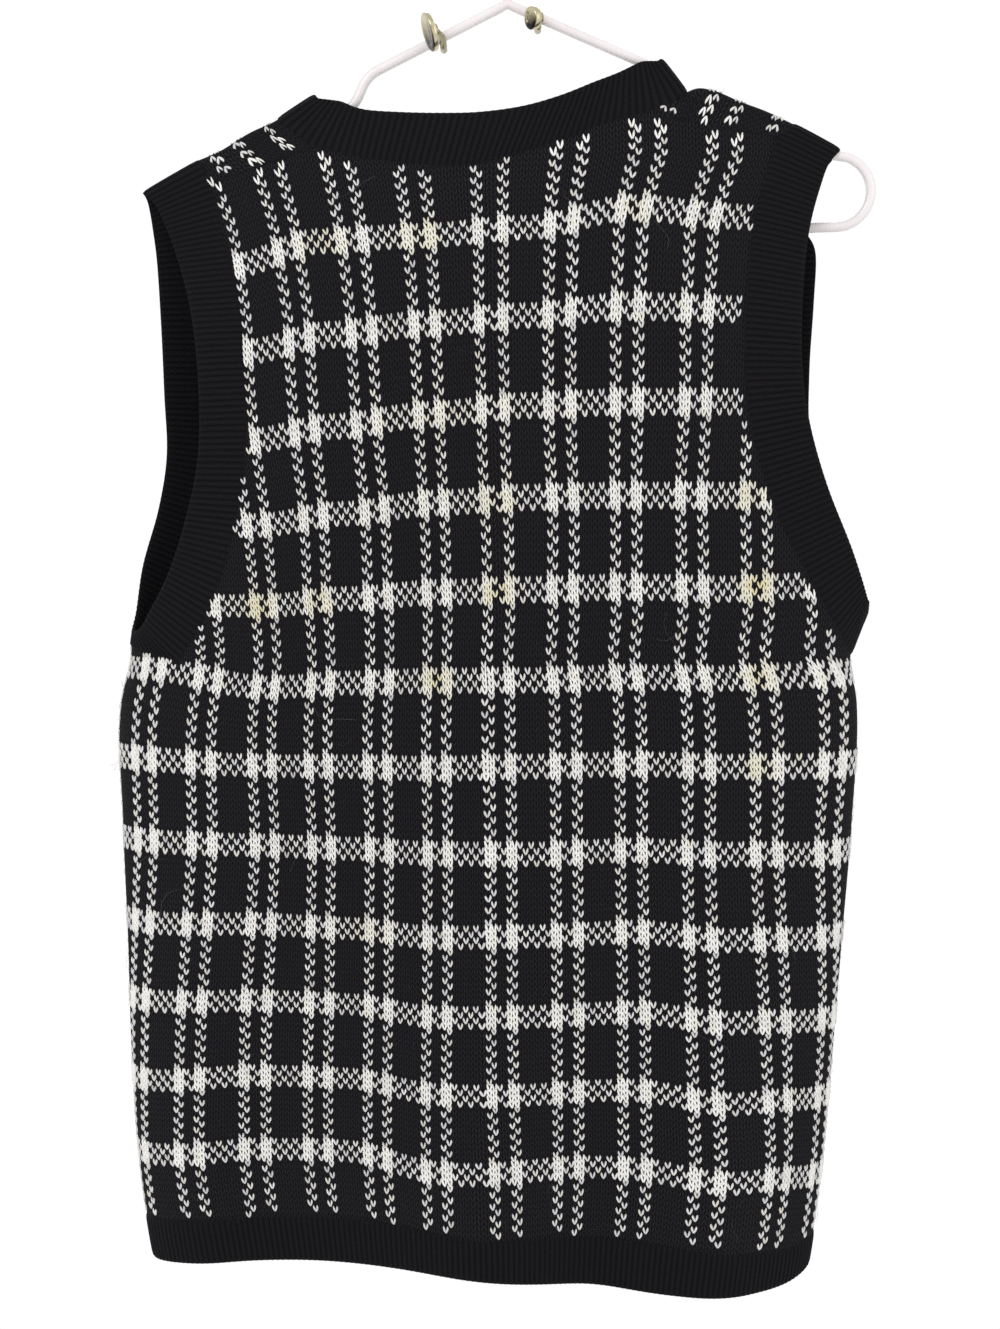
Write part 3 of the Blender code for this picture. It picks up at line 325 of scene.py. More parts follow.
# The middle of each upright white pair, in mm from the hanger's hook, at ten heights down the back.
pairNumbers = np.arange(1, 12)
pairHeights = np.array((-165.0, -205.0, -260.0, -308.0, -358.0, -408.0, -456.0, -550.0, -640.0, -728.0))
pairMiddles = {
    "back": np.array((
        (-216.0, -176.0, -134.0, -93.0, -52.0, -7.5, 37.0, 80.5, 124.0, 165.0, 205.0),
        (-195.0, -157.0, -121.5, -84.5, -47.0, -7.5, 32.0, 70.0, 110.0, 147.5, 184.0),
        (-181.0, -146.5, -112.0, -77.5, -43.0, -7.0, 30.5, 67.5, 106.0, 142.0, 178.0),
        (-176.0, -143.5, -109.5, -75.0, -40.5, -5.5, 31.0, 67.5, 105.5, 140.0, 175.0),
        (-170.0, -137.0, -104.5, -70.5, -38.0, -4.0, 33.0, 67.0, 103.0, 139.0, 175.0),
        (-165.0, -132.0, -102.5, -68.5, -36.5, -2.5, 32.5, 67.0, 104.0, 140.0, 176.0),
        (-163.0, -130.0, -100.0, -67.5, -36.0, -2.0, 33.5, 68.0, 105.5, 142.0, 183.5),
        (-167.5, -131.5, -100.0, -68.0, -36.0, -1.0, 35.0, 70.5, 108.0, 146.5, 183.0),
        (-175.0, -138.0, -102.5, -69.0, -36.5, -1.0, 36.0, 72.5, 111.0, 152.5, 186.0),
        (-178.0, -140.0, -104.0, -70.0, -37.0, 1.5, 36.5, 74.0, 114.5, 156.5, 181.5),
    )),
}
# The front has the same pairs, upright where the back's lean out to the shoulders.
pairMiddles["front"] = pairMiddles["back"].copy()
pairMiddles["front"][:2] = (-190.0, -154.0, -118.0, -82.0, -46.0, -8.0, 30.0, 68.0, 106.0, 146.0, 186.0)
# The middle of each white band across, at eight of the pairs.
bandPairs = np.array((0.0, 2.0, 3.5, 5.0, 6.5, 8.0, 9.5, 11.0))
bandHeights = {
    "back": np.array((
        (-236.0, -228.0, -214.5, -212.5, -208.0, -196.0, -200.0, -206.0),
        (-284.0, -276.5, -267.0, -261.0, -256.5, -251.5, -252.5, -254.0),
        (-330.0, -325.0, -317.0, -310.5, -305.5, -303.5, -303.0, -303.0),
        (-374.0, -371.0, -364.5, -358.5, -355.5, -354.5, -354.5, -354.0),
        (-416.0, -415.0, -411.0, -407.5, -406.0, -404.5, -406.0, -404.0),
        (-450.0, -460.0, -457.0, -455.5, -455.5, -454.0, -455.0, -454.0),
        (-502.0, -503.0, -503.0, -504.0, -502.5, -501.5, -504.0, -505.5),
        (-548.0, -547.5, -548.5, -551.0, -551.5, -549.5, -553.0, -555.5),
        (-595.0, -592.0, -593.5, -598.0, -597.0, -595.0, -601.5, -604.0),
        (-640.0, -636.0, -636.5, -642.5, -642.0, -640.5, -648.0, -652.0),
        (-687.0, -679.5, -679.5, -685.5, -686.0, -685.0, -694.0, -697.0),
        (-730.0, -722.5, -721.5, -729.5, -728.5, -730.0, -739.0, -743.0),
    )),
}
# The front's bands run straight from side seam to side seam.
leftEnds, rightEnds = bandHeights["back"][:, :1], bandHeights["back"][:, -1:]
bandHeights["front"] = leftEnds + (rightEnds - leftEnds) * bandPairs / bandPairs[-1]
bandStep = 47.0  # mm from band to band, past the first and the last


def pairShares(face):
    made = []
    for height, middles in zip(pairHeights, pairMiddles[face]):
        made.append(shareOf(face, middles, height))
    return np.array(made)


def pairNumberAt(face, x, z):
    # which pair a place belongs to, as a smooth number, from its share of the width
    share = shareOf(face, x, z)
    found = []
    for knots in pairShares(face):
        before = max(knots[1] - knots[0], knit["leastPair"])
        after = max(knots[-1] - knots[-2], knit["leastPair"])
        inside = smoothCurve(knots, pairNumbers, share)
        low = pairNumbers[0] + (share - knots[0]) / before
        high = pairNumbers[-1] + (share - knots[-1]) / after
        found.append(np.where(share < knots[0], low, np.where(share > knots[-1], high, inside)))
    found = np.array(found)[::-1]
    heights = pairHeights[::-1]
    z = np.broadcast_to(z, share.shape)
    i = np.clip(np.searchsorted(heights, z) - 1, 0, len(heights) - 2)
    t = np.clip((z - heights[i]) / (heights[i + 1] - heights[i]), 0.0, 1.0)
    low = np.take_along_axis(found, i[None], 0)[0]
    return low + (np.take_along_axis(found, i[None] + 1, 0)[0] - low) * t


def bandNumberAt(face, number, z):
    # which band a height belongs to, as a smooth number, for places of these pair numbers
    z = np.broadcast_to(z, number.shape)
    found = []
    for column in bandHeights[face].T:
        inside = np.interp(-z, -column, np.arange(len(column)))
        over = (column[0] - z) / bandStep
        under = len(column) - 1 + (column[-1] - z) / bandStep
        found.append(np.where(z > column[0], over, np.where(z < column[-1], under, inside)))
    found = np.array(found)
    i = np.clip(np.searchsorted(bandPairs, number) - 1, 0, len(bandPairs) - 2)
    t = np.clip((number - bandPairs[i]) / (bandPairs[i + 1] - bandPairs[i]), 0.0, 1.0)
    t = t * t * (3 - 2 * t)
    low = np.take_along_axis(found, i[None], 0)[0]
    return low + (np.take_along_axis(found, i[None] + 1, 0)[0] - low) * t


def stitchAt(face, x, z):
    # the wale and the row at a place of the cloth, both counted in stitches
    number = pairNumberAt(face, x, z)
    wale = knit["wales"] * number + knit["pairWale"]
    row = knit["rows"] * bandNumberAt(face, number, z) + knit["bandRows"] / 2
    return np.stack([wale, row], axis=-1)


def isWhite(wale, row):
    # every other stitch of a pair or a band, and all of them where the two cross
    upright = np.isin(wale % knit["wales"], knit["pair"])
    odd = (wale + row) % 2 == 1
    band = (row % knit["rows"] < knit["bandRows"]) & (row >= 0)
    return np.where(band, upright | ~odd, upright & odd)


# ---- meshes ----


def gridQuads(rows, cols):
    i, j = np.meshgrid(np.arange(rows - 1), np.arange(cols - 1), indexing="ij")
    a = (i * cols + j).ravel()
    return np.stack([a, a + 1, a + 1 + cols, a + cols], axis=-1)


def facingOut(points, outs, quads):
    normal = np.cross(points[quads[:, 2]] - points[quads[:, 0]], points[quads[:, 3]] - points[quads[:, 1]])
    wrong = np.einsum("ij,ij->i", normal, outs[quads[:, 0]]) < 0
    quads = quads.copy()
    quads[wrong] = quads[wrong][:, ::-1]
    return quads


def newPiece(name, points, faces):
    # a smooth mesh piece from points in metres
    mesh = bpy.data.meshes.new(name)
    mesh.from_pydata(points, [], faces)
    mesh.shade_smooth()
    piece = bpy.data.objects.new(name, mesh)
    scene.collection.objects.link(piece)
    return piece


def newMesh(name, points, faces, material):
    piece = newPiece(name, (np.asarray(points) * mm).tolist(), [tuple(f) for f in faces])
    piece.data.materials.append(material)
    return piece


mergeReach = 0.02  # mm, points of two patches this near are one


def joined(patches):
    # several grids of (points, outs, stitches, quads) as one, with the points they share merged
    points = np.vstack([p[0] for p in patches])
    outs = np.vstack([p[1] for p in patches])
    stitches = np.vstack([p[2] for p in patches])
    starts = np.cumsum([0] + [len(p[0]) for p in patches[:-1]])
    quads = np.vstack([p[3] + s for p, s in zip(patches, starts)])
    keys = np.round(points / mergeReach).astype(np.int64)
    firstOf, index = np.unique(keys, axis=0, return_index=True, return_inverse=True)[1:]
    index = index.reshape(-1)
    return points[firstOf], outs[firstOf], stitches[firstOf], index[quads]


def patch(points, outs, stitches):
    return points.reshape(-1, 3), outs.reshape(-1, 3), stitches.reshape(-1, 2), gridQuads(*points.shape[:2])


panelGrid = {
    "upperColumns": 112,  # from armhole to armhole
    "bindOff": 9,  # from an armhole corner to the side seam
    "lowerRows": 104,
    "upperRows": 84,  # of the back
    "shoulder": 3.0 / 18.0,  # shares of the back's top edge
    "neck": 12.0 / 18.0,
    "veeRows": 34,  # of the front, from the underarms to the foot of the V
    "strapRows": 52,  # and on to the shoulder
    "bridgeSteps": 4,  # between the front and the fold over the hanger
    "ridgeSteps": 12,
    "wrapSteps": 7,  # from that fold down to the shoulder seam
    "wrapSlope": 0.9,  # mm of cloth between rows for each mm down it
    "frontRowShift": 1.5,  # rows by which the front's check is moved to meet that of the fold
}


def lowerPatch(face):
    # the panel below the underarms, and the x and z of its top row between the armholes
    corners = pitCorners(face)
    bind, middle = panelGrid["bindOff"], panelGrid["upperColumns"]
    share = np.concatenate([
        np.linspace(0.0, corners[0], bind + 1)[:-1],
        np.linspace(corners[0], corners[1], middle + 1),
        np.linspace(corners[1], 1.0, bind + 1)[1:],
    ])[None, :]
    down = np.linspace(0.0, 1.0, panelGrid["lowerRows"] + 1)[:, None]
    x = xAtShare(face, clothForm["sideDrop"] + 0.0 * down, share)
    top = x[:1]
    for step in range(4):
        top = xAtShare(face, pitHeight(face, top), share)
        z = mixed(pitHeight(face, top), smoothCurve(hems[face]["x"], hems[face]["seam"], x), down)
        x = xAtShare(face, z, share)
    points, outs = clothAt(face, x, z)
    top = slice(bind, bind + middle + 1)
    return patch(points, outs, stitchAt(face, x, z)), (x[0, top], z[0, top])


def backPatches():
    lower, (pitX, pitZ) = lowerPatch("back")
    count = panelGrid["upperColumns"]
    even = np.linspace(0.0, 1.0, count + 1)
    shoulder, neck = panelGrid["shoulder"], panelGrid["neck"]
    (startX, startZ), (endX, endZ) = (armLine("back", side, upperRows) for side in ("left", "right"))
    neckX, neckZ = alongTable(neckSeam, "x", "z", np.clip((even - shoulder) / neck, 0.0, 1.0))
    leftShare = np.clip(even / shoulder, 0, 1)
    rightShare = np.clip((even - shoulder - neck) / shoulder, 0, 1)
    topX = np.where(even < shoulder, mixed(startX, neckX, leftShare), mixed(neckX, endX, rightShare))
    topZ = np.where(even < shoulder, mixed(startZ, neckZ, leftShare), mixed(neckZ, endZ, rightShare))
    row = np.linspace(0.0, upperRows, panelGrid["upperRows"] + 1)[:, None]
    (leftX, leftZ), (rightX, rightZ) = (armLine("back", side, row) for side in ("left", "right"))
    riseLeft, riseRight = ((z - z[:1]) / (z[-1:] - z[:1]) for z in (leftZ, rightZ))
    rise = mixed(riseLeft, riseRight, even)
    spread = (topX - startX) / (endX - startX)
    x = leftX + (rightX - leftX) * (even + (spread - even) * rise)
    x = x + (pitX - x[:1]) * (1.0 - rise)
    z = mixed(mixed(leftZ[:1], rightZ[:1], even), topZ, rise)
    z[0], z[-1], x[-1] = pitZ, topZ, topX
    points, outs = clothAt("back", x, z)
    return [lower, patch(points, outs, stitchAt("back", x, z))]


# On the shoulders the front's stitches pass over the hanger, square to its arm,
# and end at a seam on the back.
shoulderLean = columns(((-160.0, 0.75), (-120.0, 1.0), (100.0, -0.5), (160.0, -0.55)), "x", "lean")
shoulderPairs = columns((
    (-190.0, 1.0), (-161.0, 1.833), (-147.0, 2.167), (-131.0, 2.833), (-124.0, 3.1),
    (85.0, 8.0), (124.0, 9.0), (132.0, 9.167), (152.0, 9.833), (190.0, 10.8),
), "x", "number")


def shoulderStitches(x, z, beyond):
    # wale and row at a place this many mm beyond the top of the fold
    foot = x.copy()
    for step in range(3):
        lean = np.interp(foot, shoulderLean["x"], shoulderLean["lean"])
        foot = x - lean * np.maximum(ridgeHeight(foot) - z, 0.0)
    number = np.interp(foot, shoulderPairs["x"], shoulderPairs["number"])
    row = knit["rows"] * bandNumberAt("front", number, ridgeHeight(foot)) + knit["bandRows"] / 2
    return np.stack([knit["wales"] * number + knit["pairWale"], row - beyond / knit["row"]], axis=-1)


def frontPatches():
    lower, (pitX, pitZ) = lowerPatch("front")
    count = panelGrid["upperColumns"]
    even = np.linspace(0.0, 1.0, count + 1)
    startRow, rows = neckVee["startRow"], panelGrid["veeRows"]
    row = np.linspace(0.0, startRow, rows + 1)[:, None]
    (leftX, leftZ), (rightX, rightZ) = (armLine("front", side, row) for side in ("left", "right"))
    up = row / startRow
    pull = 1.0 - np.abs(even - 0.5) * 2.0
    footX, footZ = neckVee["seam"]
    x = mixed(leftX, rightX, even)
    target = np.where(even <= 0.5, mixed(leftX, footX, even * 2), mixed(footX, rightX, even * 2 - 1))
    x = x + (target - x) * up
    flat = (leftZ[-1:] + rightZ[-1:]) / 2
    z = mixed(leftZ, rightZ, even) + (footZ - flat) * up * pull
    x = x + (pitX - x[:1]) * (1 - up)
    z[0] = pitZ
    points, outs = clothAt("front", x, z)
    made = [lower, patch(points, outs, stitchAt("front", x, z))]
    below = made[1][0].reshape(rows + 1, count + 1, 3)[-1]
    halves = {"left": below[:count // 2 + 1], "right": below[count // 2:][::-1]}
    return made + [strapPatch(side, firstRow) for side, firstRow in halves.items()]


def strapPatch(side, firstRow):
    # one side of the V, over the hanger and down to the seam on the back
    facts, startRow = shoulders[side], neckVee["startRow"]
    across = np.linspace(0.0, 1.0, len(firstRow))
    row = np.linspace(startRow, upperRows, panelGrid["strapRows"])[:, None]
    armX, armZ = armLine("front", side, row)
    upVee = (row - startRow) / (upperRows - startRow) * neckVee["lastShare"]
    veeX, veeZ = veeLine(side, "seam", upVee)
    x, z = mixed(armX, veeX, across), mixed(armZ, veeZ, across)
    x[0], z[0] = firstRow[:, [0, 2]].T
    points, outs = clothAt("front", x, z)
    stitches = stitchAt("front", x, z)
    start, radius = clothForm["ridgeStart"], clothForm["ridgeRadius"]
    angles = np.linspace(math.pi - start, start, panelGrid["ridgeSteps"])[:, None]
    ridgeX = mixed(facts["armSeam"], facts["neckSeam"], across)
    overX = ridgeX + 0.0 * angles
    ridge, ridgeOut = ridgePoints(overX, angles)
    gap = np.linspace(0.0, 1.0, panelGrid["bridgeSteps"] + 1)[1:-1, None, None]
    bridge, bridgeOut = mixed(points[-1], ridge[0], gap), unit(mixed(outs[-1], ridgeOut[0], gap))
    armFoot, end = armLine("back", side, upperRows), 0 if side == "left" else -1
    seamX = mixed(armFoot[0], neckSeam["x"][end], across)
    seamZ = mixed(armFoot[1], neckSeam["z"][end], across)
    down = np.linspace(0.0, 1.0, panelGrid["wrapSteps"] + 1)[1:, None]
    wrapX, wrapZ = mixed(ridgeX, seamX, down), mixed(ridgeFoot(ridgeX), seamZ, down)
    wrap, wrapOut = clothAt("back", wrapX, wrapZ)
    overRidge = shoulderStitches(overX, ridgeHeight(overX), radius * (math.pi / 2 - angles))
    beyond = radius * (math.pi / 2 - start) + (ridgeFoot(wrapX) - wrapZ) * panelGrid["wrapSlope"]
    overWrap = shoulderStitches(wrapX, np.minimum(wrapZ, ridgeHeight(wrapX)), beyond)
    blend = (np.linspace(0.0, 1.0, len(points)) ** 3)[:, None, None]
    rowOnly, shift = np.array([0.0, 1.0]), np.array([0.0, panelGrid["frontRowShift"]])
    target = overRidge[0] + (stitches - stitches[-1]) * rowOnly + shift
    stitches = mixed(stitches, target, blend)
    bridged = mixed(stitches[-1], overRidge[0], gap)
    return patch(
        np.concatenate([points, bridge, ridge, wrap]),
        np.concatenate([outs, bridgeOut, ridgeOut, wrapOut]),
        np.concatenate([stitches, bridged, overRidge, overWrap]),
    )


def stitchCells(points, outs, stitches, quads):
    # every whole stitch of a panel: its wale and row, its middle, the way out,
    # and the steps to its neighbours
    tris = np.vstack([quads[:, [0, 1, 2]], quads[:, [0, 2, 3]]])
    place = stitches[tris]
    low = np.floor(place.min(axis=1) - 0.5).astype(int)
    a, b = place[:, 1] - place[:, 0], place[:, 2] - place[:, 0]
    area = a[:, 0] * b[:, 1] - a[:, 1] * b[:, 0]
    tiny = 1e-9
    area = np.where(np.abs(area) < tiny, tiny, area)
    p, o = points[tris], outs[tris]
    ea, eb = p[:, 1] - p[:, 0], p[:, 2] - p[:, 0]
    stepWale = (ea * b[:, 1:2] - eb * a[:, 1:2]) / area[:, None]
    stepRow = (eb * a[:, 0:1] - ea * b[:, 0:1]) / area[:, None]
    found, span = [], 3  # a triangle reaches over less than three stitches
    for i in range(span):
        for j in range(span):
            cell = low + (i, j)
            middle = cell + 0.5 - place[:, 0]
            s = (middle[:, 0] * b[:, 1] - middle[:, 1] * b[:, 0]) / area
            t = (a[:, 0] * middle[:, 1] - a[:, 1] * middle[:, 0]) / area
            hit = np.flatnonzero((s >= 0) & (t >= 0) & (s + t <= 1))
            s, t = s[hit, None], t[hit, None]
            spot = p[hit, 0] + ea[hit] * s + eb[hit] * t
            way = unit(o[hit, 0] * (1 - s - t) + o[hit, 1] * s + o[hit, 2] * t)
            found.append(np.hstack([cell[hit], spot, way, stepWale[hit], stepRow[hit]]))
    found = np.vstack(found)
    found = found[np.unique(np.round(found[:, :2]).astype(int), axis=0, return_index=True)[1]]
    return {"wale": found[:, 0].astype(int), "row": found[:, 1].astype(int), "spot": found[:, 2:5],
            "out": found[:, 5:8], "stepWale": found[:, 8:11], "stepRow": found[:, 11:14]}


# ---- node trees ----


def linear(hexColour):
    parts = [int(hexColour[i:i + 2], 16) / 255.0 for i in (1, 3, 5)]
    return tuple(c / 12.92 if c <= 0.04045 else ((c + 0.055) / 1.055) ** 2.4 for c in parts) + (1.0,)


def addNode(tree, kind, settings=None, **links):
    # a node with its settings; links gives values or outputs for its inputs, by name or as i0, i1 by number
    node = tree.nodes.new(kind)
    for name, value in (settings or {}).items():
        setattr(node, name, value)
    for name, value in links.items():
        numbered = name[0] == "i" and name[1:].isdigit()
        socket = node.inputs[int(name[1:]) if numbered else name.replace("_", " ")]
        if isinstance(value, bpy.types.NodeSocket):
            tree.links.new(value, socket)
        else:
            socket.default_value = value
    return node


def newMaterial(name):
    material = bpy.data.materials.new(name)
    material.use_nodes = True
    material.node_tree.nodes.clear()
    return material, material.node_tree


def shaded(material, kind="ShaderNodeBsdfPrincipled", **links):
    # ends a material with its shader and output
    tree = material.node_tree
    output = tree.nodes.new("ShaderNodeOutputMaterial")
    tree.links.new(addNode(tree, kind, **links).outputs[0], output.inputs[0])
    return material


def maths(tree, operation, a, b=0.0, c=0.0):
    return addNode(tree, "ShaderNodeMath", {"operation": operation}, i0=a, i1=b, i2=c).outputs[0]


def attributeOf(tree, name):
    return addNode(tree, "ShaderNodeAttribute", {"attribute_name": name}).outputs["Fac"]


def noise(tree, scale, detail, roughness=0.5):
    # cloudy grain over the piece's own coordinates
    place = addNode(tree, "ShaderNodeTexCoord").outputs["Object"]
    values = {"Scale": scale, "Detail": detail, "Roughness": roughness}
    return addNode(tree, "ShaderNodeTexNoise", Vector=place, **values).outputs[0]


def ranged(tree, grain, low, high):
    # the middle of a grain's values spread over a range
    return addNode(tree, "ShaderNodeMapRange", Value=grain, i1=0.3, i2=0.7, i3=low, i4=high).outputs[0]


def between(tree, share, first, second, blend="MIX"):
    # a mix of two colours, each a hex value or the output of a node
    first, second = (linear(c) if isinstance(c, str) else c for c in (first, second))
    settings = {"data_type": "RGBA", "blend_type": blend}
    return addNode(tree, "ShaderNodeMix", settings, Factor=share, i6=first, i7=second).outputs[2]


def bumped(tree, height, strength, distance):
    return addNode(tree, "ShaderNodeBump", Strength=strength, Distance=distance, Height=height).outputs[0]


def stitchRelief(tree):
    # height of stocking stitch, 0 to 1, on a map counted in wales and rows: two leaning legs to a stitch
    lean, legFullness, waleFullness = 1.9, 0.6, 0.5
    place = addNode(tree, "ShaderNodeUVMap", {"uv_map": "stitches"}).outputs[0]
    split = addNode(tree, "ShaderNodeSeparateXYZ", i0=place)
    across = maths(tree, "FRACT", split.outputs[0])
    side = maths(tree, "ABSOLUTE", maths(tree, "SUBTRACT", across, 0.5))
    leaning = maths(tree, "SUBTRACT", split.outputs[1], maths(tree, "MULTIPLY", side, lean))
    leg = maths(tree, "SINE", maths(tree, "MULTIPLY", maths(tree, "FRACT", leaning), math.pi))
    wide = maths(tree, "SINE", maths(tree, "MULTIPLY", side, 2.0 * math.pi))
    wide = maths(tree, "POWER", maths(tree, "MAXIMUM", wide, 0.0), waleFullness)
    return maths(tree, "MULTIPLY", maths(tree, "POWER", leg, legFullness), wide)


blackFinish = {
    "Roughness": 0.92, "Specular_IOR_Level": 0.08, "Sheen_Weight": 0.03, "Sheen_Roughness": 0.5,
    "Sheen_Tint": linear("#9a98a0"),
}


# Black worsted wool in stocking stitch: rows of matt leaning legs with a faint bloom of loose fibre.
def blackKnitMaterial():
    material, tree = newMaterial("black worsted wool, stocking stitch")
    relief = stitchRelief(tree)
    plies = noise(tree, 1400.0, 3.0, 0.7)  # 0.7 mm plies
    ground = between(tree, noise(tree, 24.0, 2.0), "#08070a", "#0d0c0e")  # 40 mm patches
    # Painted highlight and shade: the crests of the legs are painted lighter and the gaps between them keep
    # the dark ground.
    colour = between(tree, maths(tree, "POWER", relief, 1.5), ground, "#28262a")
    height = maths(tree, "ADD", relief, maths(tree, "MULTIPLY", plies, 0.25))
    return shaded(material, Base_Color=colour, Normal=bumped(tree, height, 1.0, 0.0011), **blackFinish)


# Undyed cream wool: soft matt yarn, whiter and yellower by turns where the yarn has aged.
def creamYarnMaterial():
    material, tree = newMaterial("undyed cream wool yarn")
    fibre = noise(tree, 1800.0, 3.0, 0.75)  # 0.5 mm fibres
    grey = between(tree, attributeOf(tree, "shade"), "#b6b4b7", "#efeeeb")
    cream = between(tree, attributeOf(tree, "warm"), grey, "#dcd3a8")
    colour = between(tree, 0.5, cream, ranged(tree, fibre, 0.82, 1.0), "MULTIPLY")
    return shaded(material, Base_Color=colour, Normal=bumped(tree, fibre, 0.6, 0.0003), Roughness=0.9,
                  Specular_IOR_Level=0.2, Sheen_Weight=0.15)


# The same black wool in single rib, which reads as close cords with deep grooves.
def ribMaterial():
    material, tree = newMaterial("black worsted wool, single rib")
    plies = maths(tree, "MULTIPLY", noise(tree, 1400.0, 3.0, 0.7), 0.3)  # 0.7 mm plies
    height = maths(tree, "ADD", maths(tree, "MULTIPLY", stitchRelief(tree), 0.6), plies)
    # Painted shade and highlight: the grooves between the ribs are painted darker and the crests lighter.
    colour = between(tree, attributeOf(tree, "rib"), "#0e0d0f", "#1a181b")
    return shaded(material, Base_Color=colour, Normal=bumped(tree, height, 1.0, 0.0008), **blackFinish)


# Vinyl-coated steel tube: a thick smooth white skin with soft highlights and slight waviness, its colour
# painted with patchy pinkish-grey shade.
def plasticMaterial():
    material, tree = newMaterial("white vinyl coating")
    wave = noise(tree, 55.0, 2.0)  # 18 mm waves of the dipped skin
    shadeAndHandling = noise(tree, 16.0, 4.0)  # 60 mm patches: painted pinkish-grey shade in the colour, and handling in the roughness
    # Painted shade: the white skin is painted pinkish grey in patches.
    return shaded(material, Base_Color=between(tree, shadeAndHandling, "#d8cfd0", "#efe9ea"),
                  Roughness=ranged(tree, shadeAndHandling, 0.2, 0.32), Normal=bumped(tree, wave, 0.12, 0.0006),
                  IOR=1.5, Coat_Weight=0.3, Coat_Roughness=0.1)


# Brass plate on steel: pale khaki metal with bright turned edges and fine scratches, with painted shade that
# darkens the end face towards its bottom and the stem behind the head.
def brassMaterial():
    material, tree = newMaterial("pale brass plate")
    wear = noise(tree, 420.0, 4.0)  # 2 mm rubbed patches
    plate = between(tree, wear, "#a89f78", "#ded6b8")
    # Painted shade: where the peg's painted shade is high, the plate is painted near black.
    colour = between(tree, attributeOf(tree, "paintedShade"), plate, "#1d1a19")
    return shaded(material, Base_Color=colour, Roughness=ranged(tree, wear, 0.16, 0.34),
                  Normal=bumped(tree, wear, 0.3, 0.0002), Metallic=1.0)


blackKnit, creamYarn, blackRib = blackKnitMaterial(), creamYarnMaterial(), ribMaterial()
whitePlastic, paleBrass = plasticMaterial(), brassMaterial()
print("materials made")


def geometryTree(name, inputs):
    tree = bpy.data.node_groups.new(name, "GeometryNodeTree")
    tree.interface.new_socket("Geometry", in_out="INPUT", socket_type="NodeSocketGeometry")
    for title, kind, value in inputs:
        socket = tree.interface.new_socket(title, in_out="INPUT", socket_type=kind)
        if value is not None:
            socket.default_value = value
    tree.interface.new_socket("Geometry", in_out="OUTPUT", socket_type="NodeSocketGeometry")
    return tree, tree.nodes.new("NodeGroupInput"), tree.nodes.new("NodeGroupOutput")


def fieldOf(tree, name, kind="FLOAT"):
    return addNode(tree, "GeometryNodeInputNamedAttribute", {"data_type": kind}, i0=name).outputs[0]


def realised(tree, target, geometry, material):
    # the end of every geometry tree
    real = addNode(tree, "GeometryNodeRealizeInstances", i0=geometry)
    painted = addNode(tree, "GeometryNodeSetMaterial", Geometry=real.outputs[0], Material=material)
    tree.links.new(painted.outputs[0], target.inputs[0])
    return tree


def turned(tree, rotation, angles):
    # a rotation turned further about its own axes
    euler = addNode(tree, "FunctionNodeEulerToRotation", i0=angles)
    return addNode(tree, "FunctionNodeRotateRotation", {"rotation_space": "LOCAL"},
                   i0=rotation, i1=euler.outputs[0]).outputs[0]


def copied(tree, piece, points, rotation, scale):
    # a copy of a piece on every point
    shape = addNode(tree, "GeometryNodeObjectInfo", Object=piece)
    return addNode(tree, "GeometryNodeInstanceOnPoints", Points=points, Rotation=rotation, Scale=scale,
                   Instance=shape.outputs["Geometry"]).outputs[0]


def grown(piece, tree, values, name):
    # runs a geometry tree on a piece and leaves its result as a plain mesh under a new name
    modifier = piece.modifiers.new("grow", "NODES")
    modifier.node_group = tree
    for item in tree.interface.items_tree:
        if item.in_out == "INPUT" and item.name in values:
            modifier[item.identifier] = values[item.name]
    evaluated = piece.evaluated_get(bpy.context.evaluated_depsgraph_get())
    mesh = bpy.data.meshes.new_from_object(evaluated)
    mesh.name = name
    made = bpy.data.objects.new(name, mesh)
    scene.collection.objects.link(made)
    bpy.data.objects.remove(piece)
    return made


def addAttribute(mesh, name, kind, values):
    field = "vector" if kind == "FLOAT_VECTOR" else "value"
    data = mesh.attributes.new(name, kind, "POINT").data
    data.foreach_set(field, np.ascontiguousarray(values, dtype=np.float32).ravel())


def addStitchMap(mesh, wale, row):
    # a map counted in stitches, one place for each corner of each face
    data = mesh.uv_layers.new(name="stitches").data
    data.foreach_set("uv", np.ascontiguousarray(np.stack([wale, row], axis=-1), dtype=np.float32).ravel())


# ---- white stitches ----

whiteStitch = {
    "legTop": 0.43,  # shares of a wale from its middle to the top of a leg
    "legFoot": 0.03,
    "bow": 0.05,  # and by which the leg curves outwards
    "rise": (-0.5, 0.55),  # rows, foot to top
    "lean": 0.12,
    "halfWidth": 0.22,  # shares of a wale
    "solidGrowth": 1.35,  # how much taller stitches are drawn where all are white, so that they close up
    "height": 0.85,  # mm of the yarn above the cloth
    "low": 0.25,  # share of that height at the ends of a leg
    "profile": ((-1.0, -0.5), (-0.45, 0.9), (0.45, 0.9), (1.0, -0.5)),  # a leg's section, across and up
    "stations": 4,
    "sway": 0.12,  # radians by which stitches turn at most
    "widths": (2.4, 4.2),  # mm, the narrowest and the widest stitch
    "heights": (2.6, 4.4),
}


def arch(share, margin):
    # half a wave that starts and ends this share inside
    return math.sin(math.pi * (margin + (1 - 2 * margin) * share))


